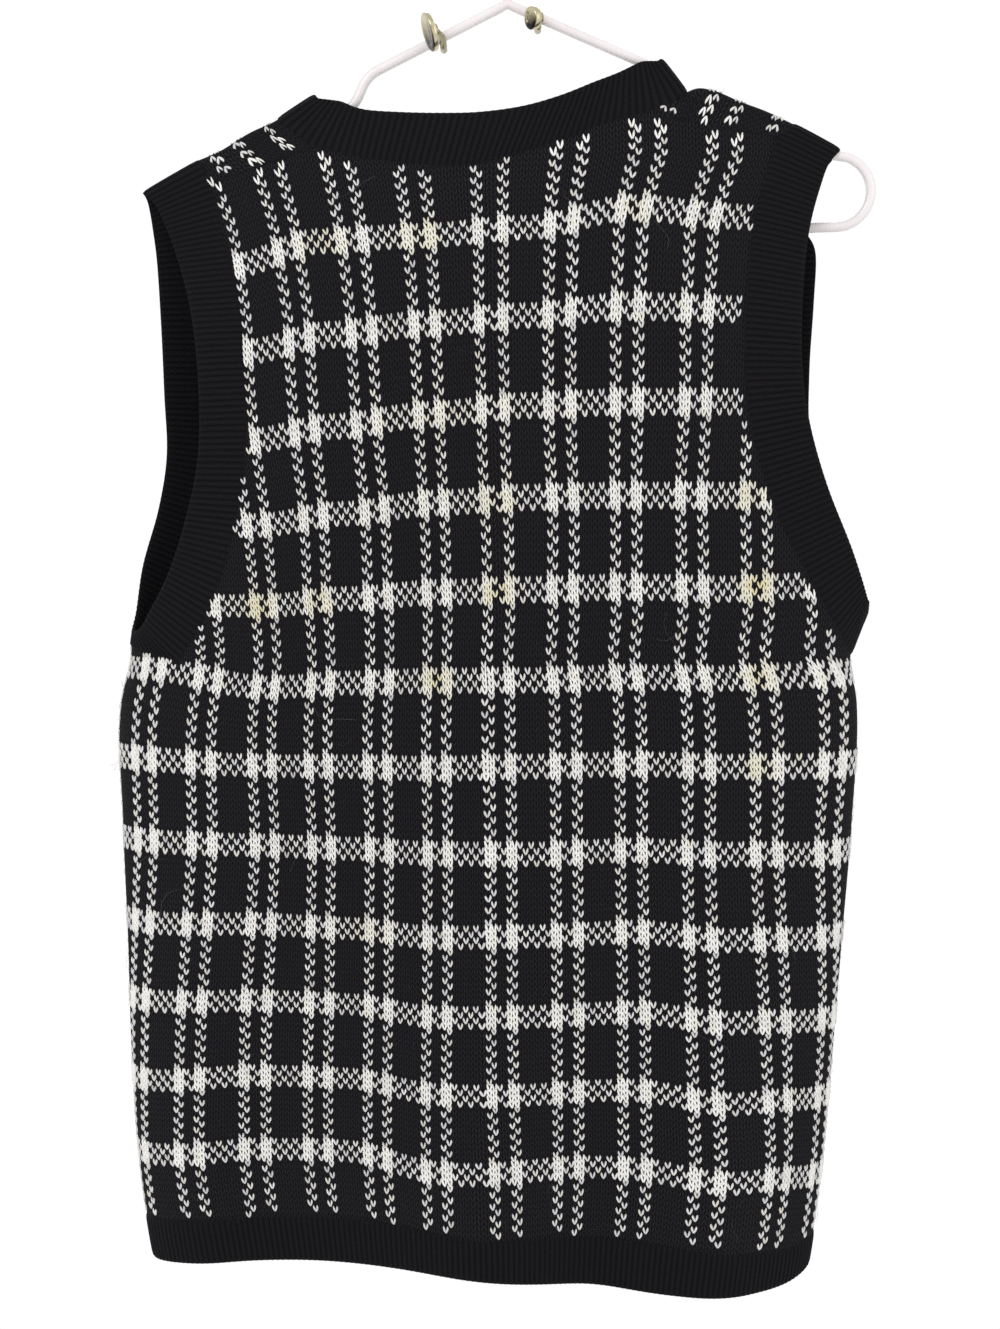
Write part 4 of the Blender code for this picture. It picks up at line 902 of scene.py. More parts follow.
def stitchMesh():
    # one stitch as two leaf-shaped legs: x in wales, y in rows, z in mm
    facts = whiteStitch
    profile, (foot, top) = facts["profile"], facts["rise"]
    points, faces = [], []
    for side in (-1.0, 1.0):
        first = len(points)
        for k in range(facts["stations"]):
            t = k / (facts["stations"] - 1)
            width = facts["halfWidth"] * arch(t**1.25, 0.08) ** 0.7
            bow = facts["bow"] * math.sin(math.pi * t)
            x = side * (facts["legFoot"] + (facts["legTop"] - facts["legFoot"]) * t + bow)
            y = foot + (top - foot) * t
            lift = facts["height"] * (facts["low"] + (1 - facts["low"]) * arch(t, 0.12))
            for across, up in profile:
                points.append((x + across * width, y - side * across * facts["lean"], lift * up))
        for k in range(facts["stations"] - 1):
            for m in range(len(profile) - 1):
                a = first + k * len(profile) + m
                faces.append((a, a + 1, a + 1 + len(profile), a + len(profile)))
    piece = newPiece("stitch", points, faces)
    if piece.data.polygons[0].normal.z < 0:
        piece.data.flip_normals()
    return piece


def stitchTree():
    tree, source, target = geometryTree("whiteStitches", (
        ("Stitch", "NodeSocketObject", None), ("Width", "NodeSocketFloat", 1.0),
        ("Height", "NodeSocketFloat", 1.0), ("Sway", "NodeSocketFloat", 0.1),
        ("Seed", "NodeSocketInt", 7), ("Yarn", "NodeSocketMaterial", None)))
    given = source.outputs
    facing = addNode(tree, "FunctionNodeAlignRotationToVector", {"axis": "Z"},
                     Vector=fieldOf(tree, "out", "FLOAT_VECTOR"))
    standing = addNode(tree, "FunctionNodeAlignRotationToVector", {"axis": "Y", "pivot_axis": "Z"},
                       Rotation=facing.outputs[0], Vector=fieldOf(tree, "rise", "FLOAT_VECTOR"))
    sway = addNode(tree, "FunctionNodeRandomValue", {"data_type": "FLOAT"}, Seed=given["Seed"])
    angles = addNode(tree, "ShaderNodeCombineXYZ", Z=maths(tree, "MULTIPLY", sway.outputs[1], given["Sway"]))
    size = addNode(tree, "ShaderNodeCombineXYZ", Z=given["Height"],
                   X=maths(tree, "MULTIPLY", fieldOf(tree, "wide"), given["Width"]),
                   Y=maths(tree, "MULTIPLY", fieldOf(tree, "tall"), given["Width"]))
    rotation = turned(tree, standing.outputs[0], angles.outputs[0])
    placed = copied(tree, given["Stitch"], given["Geometry"], rotation, size.outputs[0])
    return realised(tree, target, placed, given["Yarn"])


stitchPiece, whiteTree = stitchMesh(), stitchTree()
# Where the yarn has yellowed: x, z and reach in mm, and how far it has gone.
yellowed = columns((
    (140.0, -404.0, 9.0, 0.9), (142.0, -455.0, 8.0, 0.6), (-135.0, -416.0, 9.0, 0.75),
    (-101.0, -413.0, 8.0, 0.6), (-37.0, -455.0, 8.0, 0.7), (-3.0, -407.0, 8.0, 0.7),
    (-45.0, -212.0, 12.0, 0.4), (-100.0, -218.0, 12.0, 0.4), (72.0, -198.0, 10.0, 0.35),
    (-20.0, -310.0, 50.0, 0.15), (136.0, -355.0, 8.0, 0.5), (142.0, -504.0, 8.0, 0.5),
    (-3.0, -358.0, 9.0, 0.4), (-75.0, -592.0, 10.0, 0.25),
), "x", "z", "reach", "amount")
yarnColour = {
    "shade": {"solid": 0.95, "checked": 0.45, "spread": 0.12},  # from grey to white
    "warm": {"middle": 0.05, "spread": 0.08},  # from white to yellow
    "seeds": {"back": 11, "front": 12},
}


def whiteStitches(name, face, cells, chosen):
    wale, row = cells["wale"][chosen], cells["row"][chosen]
    out, stepRow = cells["out"][chosen], cells["stepRow"][chosen]
    # the middle of the cloth's thickness is raised to where the yarn lies
    spot = cells["spot"][chosen] + out * panelWall["yarnBed"]
    random = np.random.default_rng(yarnColour["seeds"][face])
    solid = np.isin(wale % knit["wales"], knit["pair"]) & (row % knit["rows"] < knit["bandRows"])
    facts = yarnColour["shade"]
    shade = np.where(solid, facts["solid"], facts["checked"])
    shade = shade + random.normal(0.0, facts["spread"], len(chosen))
    away = np.hypot(spot[:, :1] - yellowed["x"], spot[:, 2:] - yellowed["z"]) / yellowed["reach"]
    warm = np.sum(yellowed["amount"] * np.exp(-(away**2)), axis=1) * (face == "back")
    facts = yarnColour["warm"]
    warm = warm + random.normal(facts["middle"], facts["spread"], len(chosen))
    wide = np.clip(np.linalg.norm(cells["stepWale"][chosen], axis=1), *whiteStitch["widths"])
    tall = np.clip(np.linalg.norm(stepRow, axis=1), *whiteStitch["heights"])
    places = newPiece(name + "Places", (spot * mm).tolist(), [])
    mesh = places.data
    addAttribute(mesh, "out", "FLOAT_VECTOR", out)
    addAttribute(mesh, "rise", "FLOAT_VECTOR", -unit(stepRow))
    addAttribute(mesh, "wide", "FLOAT", wide)
    addAttribute(mesh, "tall", "FLOAT", np.where(solid, whiteStitch["solidGrowth"], 1.0) * tall)
    addAttribute(mesh, "shade", "FLOAT", np.clip(shade, 0.0, 1.0))
    addAttribute(mesh, "warm", "FLOAT", np.clip(warm, 0.0, 1.0))
    return grown(places, whiteTree, {
        "Stitch": stitchPiece, "Width": mm, "Height": mm, "Sway": whiteStitch["sway"], "Seed": 7,
        "Yarn": creamYarn}, name)


# ---- panels ----

panelWall = {"thickness": 1.5, "outer": 0.6, "yarnBed": 0.55}  # mm; outer and yarnBed from the wall's middle


def panel(name, patches):
    # the black cloth of one face, its stitches, and the points of its rim
    points, outs, stitches, quads = joined(patches)
    quads = facingOut(points, outs, quads)
    cells = stitchCells(points, outs, stitches, quads)
    edges = np.sort(np.vstack([quads[:, [k, (k + 1) % 4]] for k in range(4)]), axis=1)
    firstOf, counts = np.unique(edges, axis=0, return_index=True, return_counts=True)[1:]
    rim = np.unique(edges[firstOf[counts == 1]])
    piece = newMesh(name, points + outs * panelWall["outer"], quads, blackKnit)
    wale, row = stitches[quads.reshape(-1)].T
    addStitchMap(piece.data, wale, -row)
    wall = piece.modifiers.new("wall", "SOLIDIFY")
    wall.thickness, wall.offset = panelWall["thickness"] * mm, -1.0
    return piece, cells, points[rim]


def rimDistance(spots, rim):
    found, lot = [], 2000
    for start in range(0, len(spots), lot):
        part = spots[start:start + lot]
        found.append(np.linalg.norm(part[:, None, :] - rim[None, :, :], axis=-1).min(axis=1))
    return np.concatenate(found)


# Single white stitches left over beside the seams, all on the side of the back: x and z in mm.
strays = {
    "front": columns(((88.0, -138.0), (92.0, -138.0), (96.0, -138.5)), "x", "z"),
    "back": columns(((-170.0, -183.0), (-198.0, -442.0), (-188.0, -448.0)), "x", "z"),
}
whiteArea = {
    "rim": 2.6,  # mm of black left along a panel's edge
    "shoulderRim": 1.2,  # on the front above the next level
    "shoulderLevel": -160.0,
    "leftRim": 1.0,  # and within these limits on the left
    "leftX": -125.0,
    "leftLevels": (-480.0, -225.0),
    "sideTop": -430.0,  # below this the sides are seams that white may touch
    "sideShare": 0.497,  # shares of the width from the middle to such a seam
    "split": -480.0,  # where the upper and the lower white pieces meet
}


def chosenStitches(face, cells, rim):
    # which stitches are white, in two lots
    facts, spot = whiteArea, cells["spot"]
    x, z = spot[:, 0], spot[:, 2]
    fromMiddle = np.abs(shareOf(face, rim[:, 0], rim[:, 2]) - 0.5)
    cut = rim[(fromMiddle < facts["sideShare"]) | (rim[:, 2] > facts["sideTop"])]
    reach = np.full(len(spot), facts["rim"])
    if face == "front":
        reach[z > facts["shoulderLevel"]] = facts["shoulderRim"]
    lowest, highest = facts["leftLevels"]
    reach[(x < facts["leftX"]) & (z < highest) & (z > lowest)] = facts["leftRim"]
    white = isWhite(cells["wale"], cells["row"]) & (rimDistance(spot, cut) > reach)
    hidden = np.where(cells["out"][:, 1] > 0.0, 1e3, 0.0)
    for strayX, strayZ in zip(strays[face]["x"], strays[face]["z"]):
        white[np.argmin(np.hypot(x - strayX, z - strayZ) + hidden)] = True
    above = z > facts["split"]
    return {"Upper": np.flatnonzero(white & above), "Lower": np.flatnonzero(white & ~above)}


panelShapes = {}
for face, patches in (("back", backPatches()), ("front", frontPatches())):
    piece, cells, rim = panel(face + "Knit", patches)
    for part, chosen in chosenStitches(face, cells, rim).items():
        white = whiteStitches(face + part + "WhiteStitches", face, cells, chosen)
        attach(white, "root")
        print(white.name, "faces", len(white.data.polygons))
    panelShapes[face] = piece.data
    print(face, "knit", len(piece.data.polygons), "cells", len(cells["wale"]))
    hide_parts(face + "_panel")
    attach(piece, "root")
bpy.data.objects.remove(stitchPiece)


# ---- loose fibre ----

fibreKinds = {  # fibres to a square metre, lengths in mm, thickness as a share of the length
    "Bloom": {"density": 9000.0, "length": (2.5, 6.0), "thick": 0.011, "seed": 3, "colour": "#3a393d"},
    "StrayHairs": {"density": 140.0, "length": (9.0, 24.0), "thick": 0.003, "seed": 8, "colour": "#78767a"},
}
fibreForm = {
    "steps": 4,
    "sides": 3,
    "bend": 0.35,  # shares of the length, sideways at the tip
    "wave": 0.1,  # and to and fro
    "waves": 5.0,  # radians of that wave
    "rise": (0.02, 0.16),  # above the cloth at the root, and by how much more in the middle
    "arch": 0.9,  # how much of half a wave the fibre follows
}


def fibreMesh(thick):
    # one bent hair, a unit long, as a thin thread
    form, points, faces = fibreForm, [], []
    steps, sides = form["steps"], form["sides"]
    for k in range(steps + 1):
        t = k / steps
        across = form["bend"] * t * t - form["wave"] * math.sin(form["waves"] * t)
        up = form["rise"][0] + form["rise"][1] * math.sin(math.pi * t * form["arch"])
        for m in range(sides):
            angle = 2 * math.pi * m / sides
            points.append((t, across + thick * math.cos(angle), up + thick * math.sin(angle)))
    for k in range(steps):
        for m in range(sides):
            a, b = k * sides + m, k * sides + (m + 1) % sides
            faces.append((a, b, b + sides, a + sides))
    faces += [tuple(reversed(range(sides))), tuple(range(steps * sides, (steps + 1) * sides))]
    return newPiece("fibre", points, faces)


def fibreTree():
    tree, source, target = geometryTree("looseFibre", (
        ("Fibre", "NodeSocketObject", None), ("Density", "NodeSocketFloat", 100.0),
        ("Shortest", "NodeSocketFloat", 0.002), ("Longest", "NodeSocketFloat", 0.006),
        ("Seed", "NodeSocketInt", 3), ("Wool", "NodeSocketMaterial", None)))
    given = source.outputs
    spread = addNode(tree, "GeometryNodeDistributePointsOnFaces", {"distribute_method": "RANDOM"},
                     Mesh=given["Geometry"], Density=given["Density"], Seed=given["Seed"])
    tip, spin = 0.2, 3.14  # radians by which fibres tip at most, and by which they turn
    turn = addNode(tree, "FunctionNodeRandomValue", {"data_type": "FLOAT_VECTOR"},
                   i0=(-tip, -tip, -spin), i1=(tip, tip, spin), Seed=given["Seed"])
    length = addNode(tree, "FunctionNodeRandomValue", {"data_type": "FLOAT"}, i2=given["Shortest"],
                     i3=given["Longest"], Seed=given["Seed"])
    rotation = turned(tree, spread.outputs["Rotation"], turn.outputs[0])
    placed = copied(tree, given["Fibre"], spread.outputs["Points"], rotation, length.outputs[1])
    return realised(tree, target, placed, given["Wool"])


# Single wool fibres, finer than the yarn, drawn a little thick so that they show; they catch the light.
def fibreMaterial(name, colour):
    material, tree = newMaterial(name)
    blend = between(tree, noise(tree, 60.0, 1.0), "#17161a", colour)  # 16 mm patches
    return shaded(material, Base_Color=blend, Roughness=0.7)


looseFibre = fibreTree()
for kind, facts in fibreKinds.items():
    fibre = fibreMesh(facts["thick"])
    wool = fibreMaterial("loose wool fibre, " + kind, facts["colour"])
    for face, shape in panelShapes.items():
        ground = bpy.data.objects.new("ground", shape.copy())
        scene.collection.objects.link(ground)
        made = grown(ground, looseFibre, {
            "Fibre": fibre, "Density": facts["density"], "Shortest": facts["length"][0] * mm,
            "Longest": facts["length"][1] * mm, "Seed": facts["seed"], "Wool": wool}, face + kind)
        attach(made, "root")
        print(made.name, "faces", len(made.data.polygons))
    bpy.data.objects.remove(fibre)


# ---- ribbed bands ----

ribBands = {  # pitch from rib to rib and half the thickness in mm; passes of rounding along the free edge
    "neckRib": {
        "node": ("neckband",), "pitch": 3.8, "half": 1.35, "rounding": 12, "flat": (0.61, 0.033),
    },
    "leftArmRib": {
        "node": ("armband_left",), "pitch": 3.4, "half": 1.25, "rounding": 60, "flat": (0.575, 0.031),
    },
    "rightArmRib": {
        "node": ("armband_right",), "pitch": 3.4, "half": 1.25, "rounding": 150, "flat": (0.575, 0.031),
    },
    "hemRib": {
        "node": ("hem_rib_back", "hem_rib_front"), "pitch": 3.1, "half": 1.25, "rounding": 4,
        "flat": (0.86, 0.027),
    },
}
ribForm = {
    "rise": 0.3,  # mm by which a rib stands out of the band and a groove lies in it
    "row": 3.3,  # mm
    "steps": 6,  # stations to a rib
    "seamRounding": 4,  # passes
}
# The band's cross-section, from its seam over the outside to the free edge and back on the inside.
bandSection = columns((
    (-0.04, 0.05, 0.0), (0.0, 0.5, 0.2), (0.05, 0.86, 0.7), (0.14, 1.0, 1.0), (0.32, 1.06, 1.0),
    (0.5, 1.08, 1.0), (0.68, 1.06, 1.0), (0.85, 1.0, 1.0), (0.94, 0.84, 0.8), (0.99, 0.4, 0.5),
    (0.99, -0.4, 0.5), (0.94, -0.84, 0.8), (0.8, -1.0, 1.0), (0.5, -1.0, 1.0), (0.2, -1.0, 1.0),
    (0.04, -0.85, 0.5), (-0.04, -0.35, 0.0),
), "across", "height", "fade")
# Stations along the parts of a band, before they are spaced out evenly.
stationCounts = {"armhole": 160, "neck": 130, "vee": 120, "pit": 42, "hem": 300, "short": 8, "ridge": 14}
shortSteps = np.linspace(0.0, 1.0, stationCounts["short"])[1:-1]
ridgeTurns = np.linspace(clothForm["ridgeStart"], math.pi - clothForm["ridgeStart"], stationCounts["ridge"])


def toRidge(x, z, ridgeX):
    # from the end of a line on the back up to the fold over the hanger
    return clothAt("back", mixed(x, ridgeX, shortSteps), mixed(z, ridgeFoot(ridgeX), shortSteps))


def underarmLine(side, t):
    # the seam under the arm, from the front's armhole corner round the side to the back's
    which, end = (0, 0.0) if side == "left" else (1, 1.0)
    frontShare = mixed(pitCorners("front")[which], end, t[t < 0.5] * 2)
    backShare = mixed(end, pitCorners("back")[which], t[t >= 0.5] * 2 - 1)
    parts = []
    for face, share in (("front", frontShare), ("back", backShare)):
        x = xAtShare(face, clothForm["sideDrop"], share)
        for step in range(3):
            x = xAtShare(face, pitHeight(face, x), share)
        parts.append(clothAt(face, x, pitHeight(face, x)))
    return np.vstack([parts[0][0], parts[1][0]]), np.vstack([parts[0][1], parts[1][1]])


def armStations(side):
    # the seam and the free edge of an armband, as lists of (points, ways out)
    steps = np.linspace(0.0, 1.0, stationCounts["armhole"])
    lines = {}
    for part in ("seam", "edge"):
        top, ridgeX = armLine("back", side, upperRows, part), shoulders[side]["arm" + part.title()]
        lines[part] = [
            clothAt("back", *armLine("back", side, steps * upperRows, part)),
            toRidge(*top, ridgeX),
            ridgePoints(ridgeX, ridgeTurns),
            clothAt("front", *armLine("front", side, (1.0 - steps) * upperRows, part)),
        ]
    t = np.linspace(0.0, 1.0, stationCounts["pit"])[1:-1]
    lines["seam"].append(underarmLine(side, t))
    ends = []
    for face in ("front", "back"):
        x, z = armLine(face, side, 0.0, "edge")
        ends.append([v[0] for v in clothAt(face, np.array([x]), np.array([z]))])
    (frontEnd, frontOut), (backEnd, backOut) = ends
    bottom = np.array([underarms[side][1], 0.0, underarms[side][2]])
    t = t[:, None]
    pull = 2 * bottom - (frontEnd + backEnd) / 2
    bend = (1 - t) ** 2 * frontEnd + 2 * t * (1 - t) * pull + t**2 * backEnd
    bend = bend - underarms[side][3] * np.sin(2 * math.pi * t) * np.array([0.0, 0.0, 1.0])
    away = np.array([-1.0 if side == "left" else 1.0, 0.0, 0.0])
    lines["edge"].append((bend, unit(mixed(frontOut, backOut, t) + away)))
    return lines["seam"], lines["edge"]


def neckStations():
    # along the back's neck, then down the right side of the V and up its left
    k = np.linspace(0.0, 1.0, stationCounts["neck"])
    seam = clothAt("back", *alongTable(neckSeam, "x", "z", k))
    run = np.concatenate([[0.0], np.cumsum(np.linalg.norm(np.diff(seam[0], axis=0), axis=1))])
    lines = {"seam": [seam], "edge": [clothAt("back", *alongTable(neckEdge, "x", "z", run / run[-1]))]}
    share = np.linspace(neckVee["lastShare"], 0.0, stationCounts["vee"])
    for part, table in (("seam", neckSeam), ("edge", neckEdge)):
        for side, end in (("right", -1), ("left", 0)):
            ridgeX = shoulders[side]["neck" + part.title()]
            down = [
                toRidge(table["x"][end], table["z"][end], ridgeX),
                ridgePoints(ridgeX, ridgeTurns),
                clothAt("front", *veeLine(side, part, share)),
            ]
            lines[part] += down if side == "right" else [(p[::-1], o[::-1]) for p, o in reversed(down)]
    return lines["seam"], lines["edge"]


def hemStations():
    share = np.linspace(0.0, 1.0, stationCounts["hem"])
    lines = {"seam": [], "edge": []}
    for face, shares in (("back", share), ("front", share[::-1][1:-1])):
        for part in lines:
            x = xAtShare(face, clothForm["hemLevel"], shares)
            for step in range(4):
                z = smoothCurve(hems[face]["x"], hems[face][part], x)
                x = xAtShare(face, z, shares)
            lines[part].append(clothAt(face, x, z))
    return lines["seam"], lines["edge"]


def ribTree():
    tree, source, target = geometryTree("singleRib", (
        ("Rib rise", "NodeSocketFloat", 0.4), ("Wool", "NodeSocketMaterial", None)))
    turns = maths(tree, "MULTIPLY", fieldOf(tree, "ribCount"), 2 * math.pi)
    crest = maths(tree, "MULTIPLY", maths(tree, "COSINE", turns), -1.0)
    lift = maths(tree, "MULTIPLY", crest, fieldOf(tree, "fade"))
    lift = maths(tree, "MULTIPLY", lift, source.outputs["Rib rise"])
    offset = addNode(tree, "ShaderNodeVectorMath", {"operation": "SCALE"},
                     i0=fieldOf(tree, "out", "FLOAT_VECTOR"), Scale=lift)
    moved = addNode(tree, "GeometryNodeSetPosition", Geometry=source.outputs["Geometry"],
                    Offset=offset.outputs[0])
    # The crest value from 0 to 1 is kept for the wool's colour, which paints shade into the grooves and
    # highlight onto the crests.
    kept = addNode(tree, "GeometryNodeStoreNamedAttribute", {"data_type": "FLOAT", "domain": "POINT"},
                   Geometry=moved.outputs[0], Name="rib", Value=maths(tree, "MULTIPLY_ADD", crest, 0.5, 0.5))
    return realised(tree, target, kept.outputs[0], source.outputs["Wool"])


singleRib = ribTree()


def evenLines(facts, stations):
    # the band's seam, the ways out of it, its free edge and the ways out of that, at even stations;
    # each station's place counted in ribs, and the band's length
    lines = [np.vstack([pair[n] for pair in line]) for line in stations for n in (0, 1)]
    lines = [np.vstack([line, line[:1]]) for line in lines]
    run = np.cumsum(np.linalg.norm(np.diff((lines[0] + lines[2]) / 2, axis=0), axis=1))
    run = np.concatenate([[0.0], run])
    ribs = round(run[-1] / facts["pitch"])
    where = np.arange(ribs * ribForm["steps"]) / ribForm["steps"]
    along = where / ribs * run[-1]
    lines = [np.stack([np.interp(along, run, line[:, i]) for i in range(3)], axis=-1) for line in lines]
    for repeat in range(facts["rounding"]):
        # the seam keeps its corners, the free edge is rounded further
        moving = range(4) if repeat < ribForm["seamRounding"] else range(2, 4)
        for n in moving:
            lines[n] = (np.roll(lines[n], 1, axis=0) + 2 * lines[n] + np.roll(lines[n], -1, axis=0)) / 4
    return lines, where, run[-1]


def bandQuads(points):
    # the faces of a closed ring of closed sections, turned outwards
    rows, cols = points.shape[:2]
    i, j = np.meshgrid(np.arange(rows), np.arange(cols), indexing="ij")
    after, over = (i + 1) % rows, (j + 1) % cols
    quads = np.stack([i * cols + j, i * cols + over, after * cols + over, after * cols + j], axis=-1)
    quads = quads.reshape(-1, 4)
    flat = points.reshape(-1, 3)
    centre = np.repeat(points.mean(axis=1), cols, axis=0)
    normal = np.cross(flat[quads[:, 2]] - flat[quads[:, 0]], flat[quads[:, 3]] - flat[quads[:, 1]])
    if np.sum(np.einsum("ij,ij->i", normal, flat[quads[:, 0]] - centre[quads[:, 0]])) < 0:
        quads = quads[:, ::-1]
    return quads


def band(name, stations):
    facts = ribBands[name]
    (seam, seamOut, edge, edgeOut), where, length = evenLines(facts, stations)
    rows, cols, ribs = len(where), len(bandSection["across"]), len(where) // ribForm["steps"]
    share = bandSection["across"][None, :, None]
    height = bandSection["height"][None, :, None]
    out = unit(mixed(seamOut[:, None], edgeOut[:, None], np.clip(share, 0, 1)))
    points = mixed(seam[:, None], edge[:, None], share) + out * (height * facts["half"])
    quads = bandQuads(points)
    piece = newMesh(name + "Smooth", points.reshape(-1, 3), quads, blackRib)
    count = np.repeat(where, cols)
    addAttribute(piece.data, "ribCount", "FLOAT", count)
    addAttribute(piece.data, "out", "FLOAT_VECTOR", out * np.where(height < 0, -1.0, 1.0) * mm)
    addAttribute(piece.data, "fade", "FLOAT", np.tile(bandSection["fade"], rows))
    depth = np.linalg.norm(edge - seam, axis=1)
    loops = quads.reshape(-1)
    wale = count[loops].reshape(-1, 4)
    # faces that close the ring count on past the last rib
    wale = np.where(wale < wale.max(axis=1, keepdims=True) - ribs / 2, wale + ribs, wale).reshape(-1)
    across = np.tile(bandSection["across"], rows)[loops] * np.repeat(depth, cols)[loops] / ribForm["row"]
    addStitchMap(piece.data, wale, across)
    made = grown(piece, singleRib, {"Rib rise": ribForm["rise"], "Wool": blackRib}, name)
    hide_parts(*facts["node"])
    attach(made, "root")
    print(name, "faces", len(made.data.polygons), "length", round(length), "depth", f"{depth.mean():.1f}")


band("neckRib", neckStations())
band("leftArmRib", armStations("left"))
band("rightArmRib", armStations("right"))
band("hemRib", hemStations())


# ---- hanger and pegs ----

# Heights from the inside of the hook's top, and for the arms and the bar from where the arms meet.
hangerForm = {  # mm
    "tubeRadius": 2.9,
    "sides": 24,
    "tilt": math.radians(1.8),
    "apexDrop": 79.2,  # down to where the arms meet
    "apexRise": 0.6,
    "armEnd": (80.0, -36.5),  # where the notch begins
    "notchEnd": (88.5, -54.0),
    "shoulderEnd": (176.0, -88.0),
    "overhang": 6.0,  # from there out to the middle of the end's arc
    "endRadius": 20.0,
    "endFrom": 70.0,  # degrees, where the ends' arcs begin
    "endSteps": 18,
    "leftInset": 9.0,  # the left arm is this much shorter
    "barDrop": 129.0,
    "cornerRadius": 7.0,
    "cornerSteps": 8,
    "spacing": 6.0,  # from station to station, at most twice this
    "hookRadius": 21.0,
    "hookTip": -35.0,  # degrees
    "hookStart": 22.0,
    "hookSteps": 48,
    "hookNeck": 12.0,
    "hookFoot": -75.1,
    "domeStart": 0.25,  # radians
    "domeSteps": 6,
    "domeTip": 0.02,
}


def tilted(x, z):
    c, s = math.cos(hangerForm["tilt"]), math.sin(hangerForm["tilt"])
    return np.array([x * c - z * s, 0.0, x * s + z * c])


def rounded(points, radius, steps):
    points = [np.array(p, float) for p in points]
    line = [points[0]]
    for before, corner, after in zip(points, points[1:], points[2:]):
        start, end = (corner + unit(p - corner) * radius for p in (before, after))
        for k in range(steps + 1):
            t = k / steps
            line.append((1 - t) ** 2 * start + 2 * t * (1 - t) * corner + t * t * end)
    return line + [points[-1]]


def domed(line):
    # an open line with half a ball at each end, and its radii
    form, radius = hangerForm, hangerForm["tubeRadius"]
    turns = np.linspace(form["domeStart"], math.pi / 2, form["domeSteps"])
    radii = [max(radius * math.cos(turn), form["domeTip"]) for turn in turns]
    before, after = (
        [line[end] + unit(line[end] - line[inner]) * radius * math.sin(turn) for turn in turns]
        for end, inner in ((0, 1), (-1, -2)))
    return before[::-1] + line + after, radii[::-1] + [radius] * len(line) + radii


def tubeMesh(name, line, closed):
    # a round tube along a line in the hanger's plane, with domed ends where it is open
    sides, line = hangerForm["sides"], [np.array(p, float) for p in line]
    line, radii = (line, [hangerForm["tubeRadius"]] * len(line)) if closed else domed(line)
    count, points, faces = len(line), [], []
    forward = np.array([0.0, 1.0, 0.0])
    for i, point in enumerate(line):
        before = line[i - 1] if closed or i else point
        after = line[(i + 1) % count] if closed or i < count - 1 else point
        run = unit(after - before)
        side = np.array([-run[2], 0.0, run[0]])
        for k in range(sides):
            turn = 2 * math.pi * k / sides
            points.append(point + radii[i] * (math.cos(turn) * side + math.sin(turn) * forward))
    for i in range(count if closed else count - 1):
        j = (i + 1) % count
        for k in range(sides):
            m = (k + 1) % sides
            faces.append((i * sides + k, j * sides + k, j * sides + m, i * sides + m))
    if not closed:
        faces.append(tuple(range(sides)))
        faces.append(tuple((count - 1) * sides + k for k in reversed(range(sides))))
    return newMesh(name, points, faces, whitePlastic)


def hangerLine():
    form = hangerForm
    shape, sides = [np.array([0.0, form["apexRise"]])], []
    for inset in (0.0, form["leftInset"]):
        endX = form["shoulderEnd"][0] - inset
        corners = [(0.0, 0.0), form["armEnd"], form["notchEnd"], (endX, form["shoulderEnd"][1])]
        side = rounded(corners, form["cornerRadius"], form["cornerSteps"])[1:]
        for k in range(form["endSteps"] + 1):
            angle = math.radians(form["endFrom"] - (form["endFrom"] + 90.0) * k / form["endSteps"])
            centre = np.array([endX + form["overhang"], -form["barDrop"] + form["endRadius"]])
            side.append(centre + form["endRadius"] * np.array([math.cos(angle), math.sin(angle)]))
        sides.append(side)
    shape += sides[0] + [np.array([-p[0], p[1]]) for p in reversed(sides[1])]
    line = [tilted(p[0], p[1] - form["apexDrop"]) for p in shape]
    fine = []
    for a, b in zip(line, line[1:] + line[:1]):
        steps = max(1, int(np.linalg.norm(b - a) / form["spacing"]))
        fine += [mixed(a, b, k / steps) for k in range(steps)]
    return fine


def hookLine():
    form = hangerForm
    centre = form["tubeRadius"] - form["hookRadius"]
    line = [(0.0, form["hookFoot"]), (0.0, centre - form["hookRadius"] - form["hookNeck"])]
    sweep = 270.0 - form["hookStart"] + form["hookTip"]
    for k in range(form["hookSteps"] + 1):
        angle = math.radians(-90.0 + form["hookStart"] + sweep * k / form["hookSteps"])
        line.append((form["hookRadius"] * math.cos(angle), centre + form["hookRadius"] * math.sin(angle)))
    return [tilted(*p) for p in line]


hangerParts = (
    ("hangerTube", "hanger", hangerLine(), True),
    ("hangerHook", "hanger_hook", hookLine(), False),
)
for name, node, line, closed in hangerParts:
    tube = tubeMesh(name, line, closed)
    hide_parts(node)
    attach(tube, "root")
print("hanger made")

pegs = {  # mm; the heads face a little to one side and down
    "leftPeg": {
        "node": "peg_left", "stemX": -33.5, "head": (-40.7, -15.0, -97.4), "radius": 10.8, "thick": 3.4,
        "turn": math.radians(-78.0), "roll": math.radians(18.0),
    },
    "rightPeg": {
        "node": "peg_right", "stemX": 19.5, "head": (16.6, -11.5, -89.0), "radius": 6.4, "thick": 4.4,
        "turn": math.radians(-60.0), "roll": math.radians(8.0),
    },
}
pegSizes = {  # mm
    "stemRadius": 2.0,
    "stemLength": 8.0,
    "stemEdge": 0.4,
    "gap": 0.35,  # between the stem and the hanger's arm
    "neckRadius": 3.6,
    "neckReach": 2.6,
    "neckFlare": (0.25, 0.5),  # how near to the head the neck widens, and by how much
    "chamfer": 1.0,
    "halfChamfer": 0.3,
    "chamferDepth": 0.8,
    "dish": (0.62, 0.55),  # shares of the radius at the dish's rim and floor
    "dishDepth": 0.5,
    "sides": 40,
}
paintedShadeAmounts = {"stem": 0.4, "faceDepth": 0.6, "stemGap": 0.2}  # painted shade: the end face is painted darker from its top down, and the stem behind the head a set amount darker


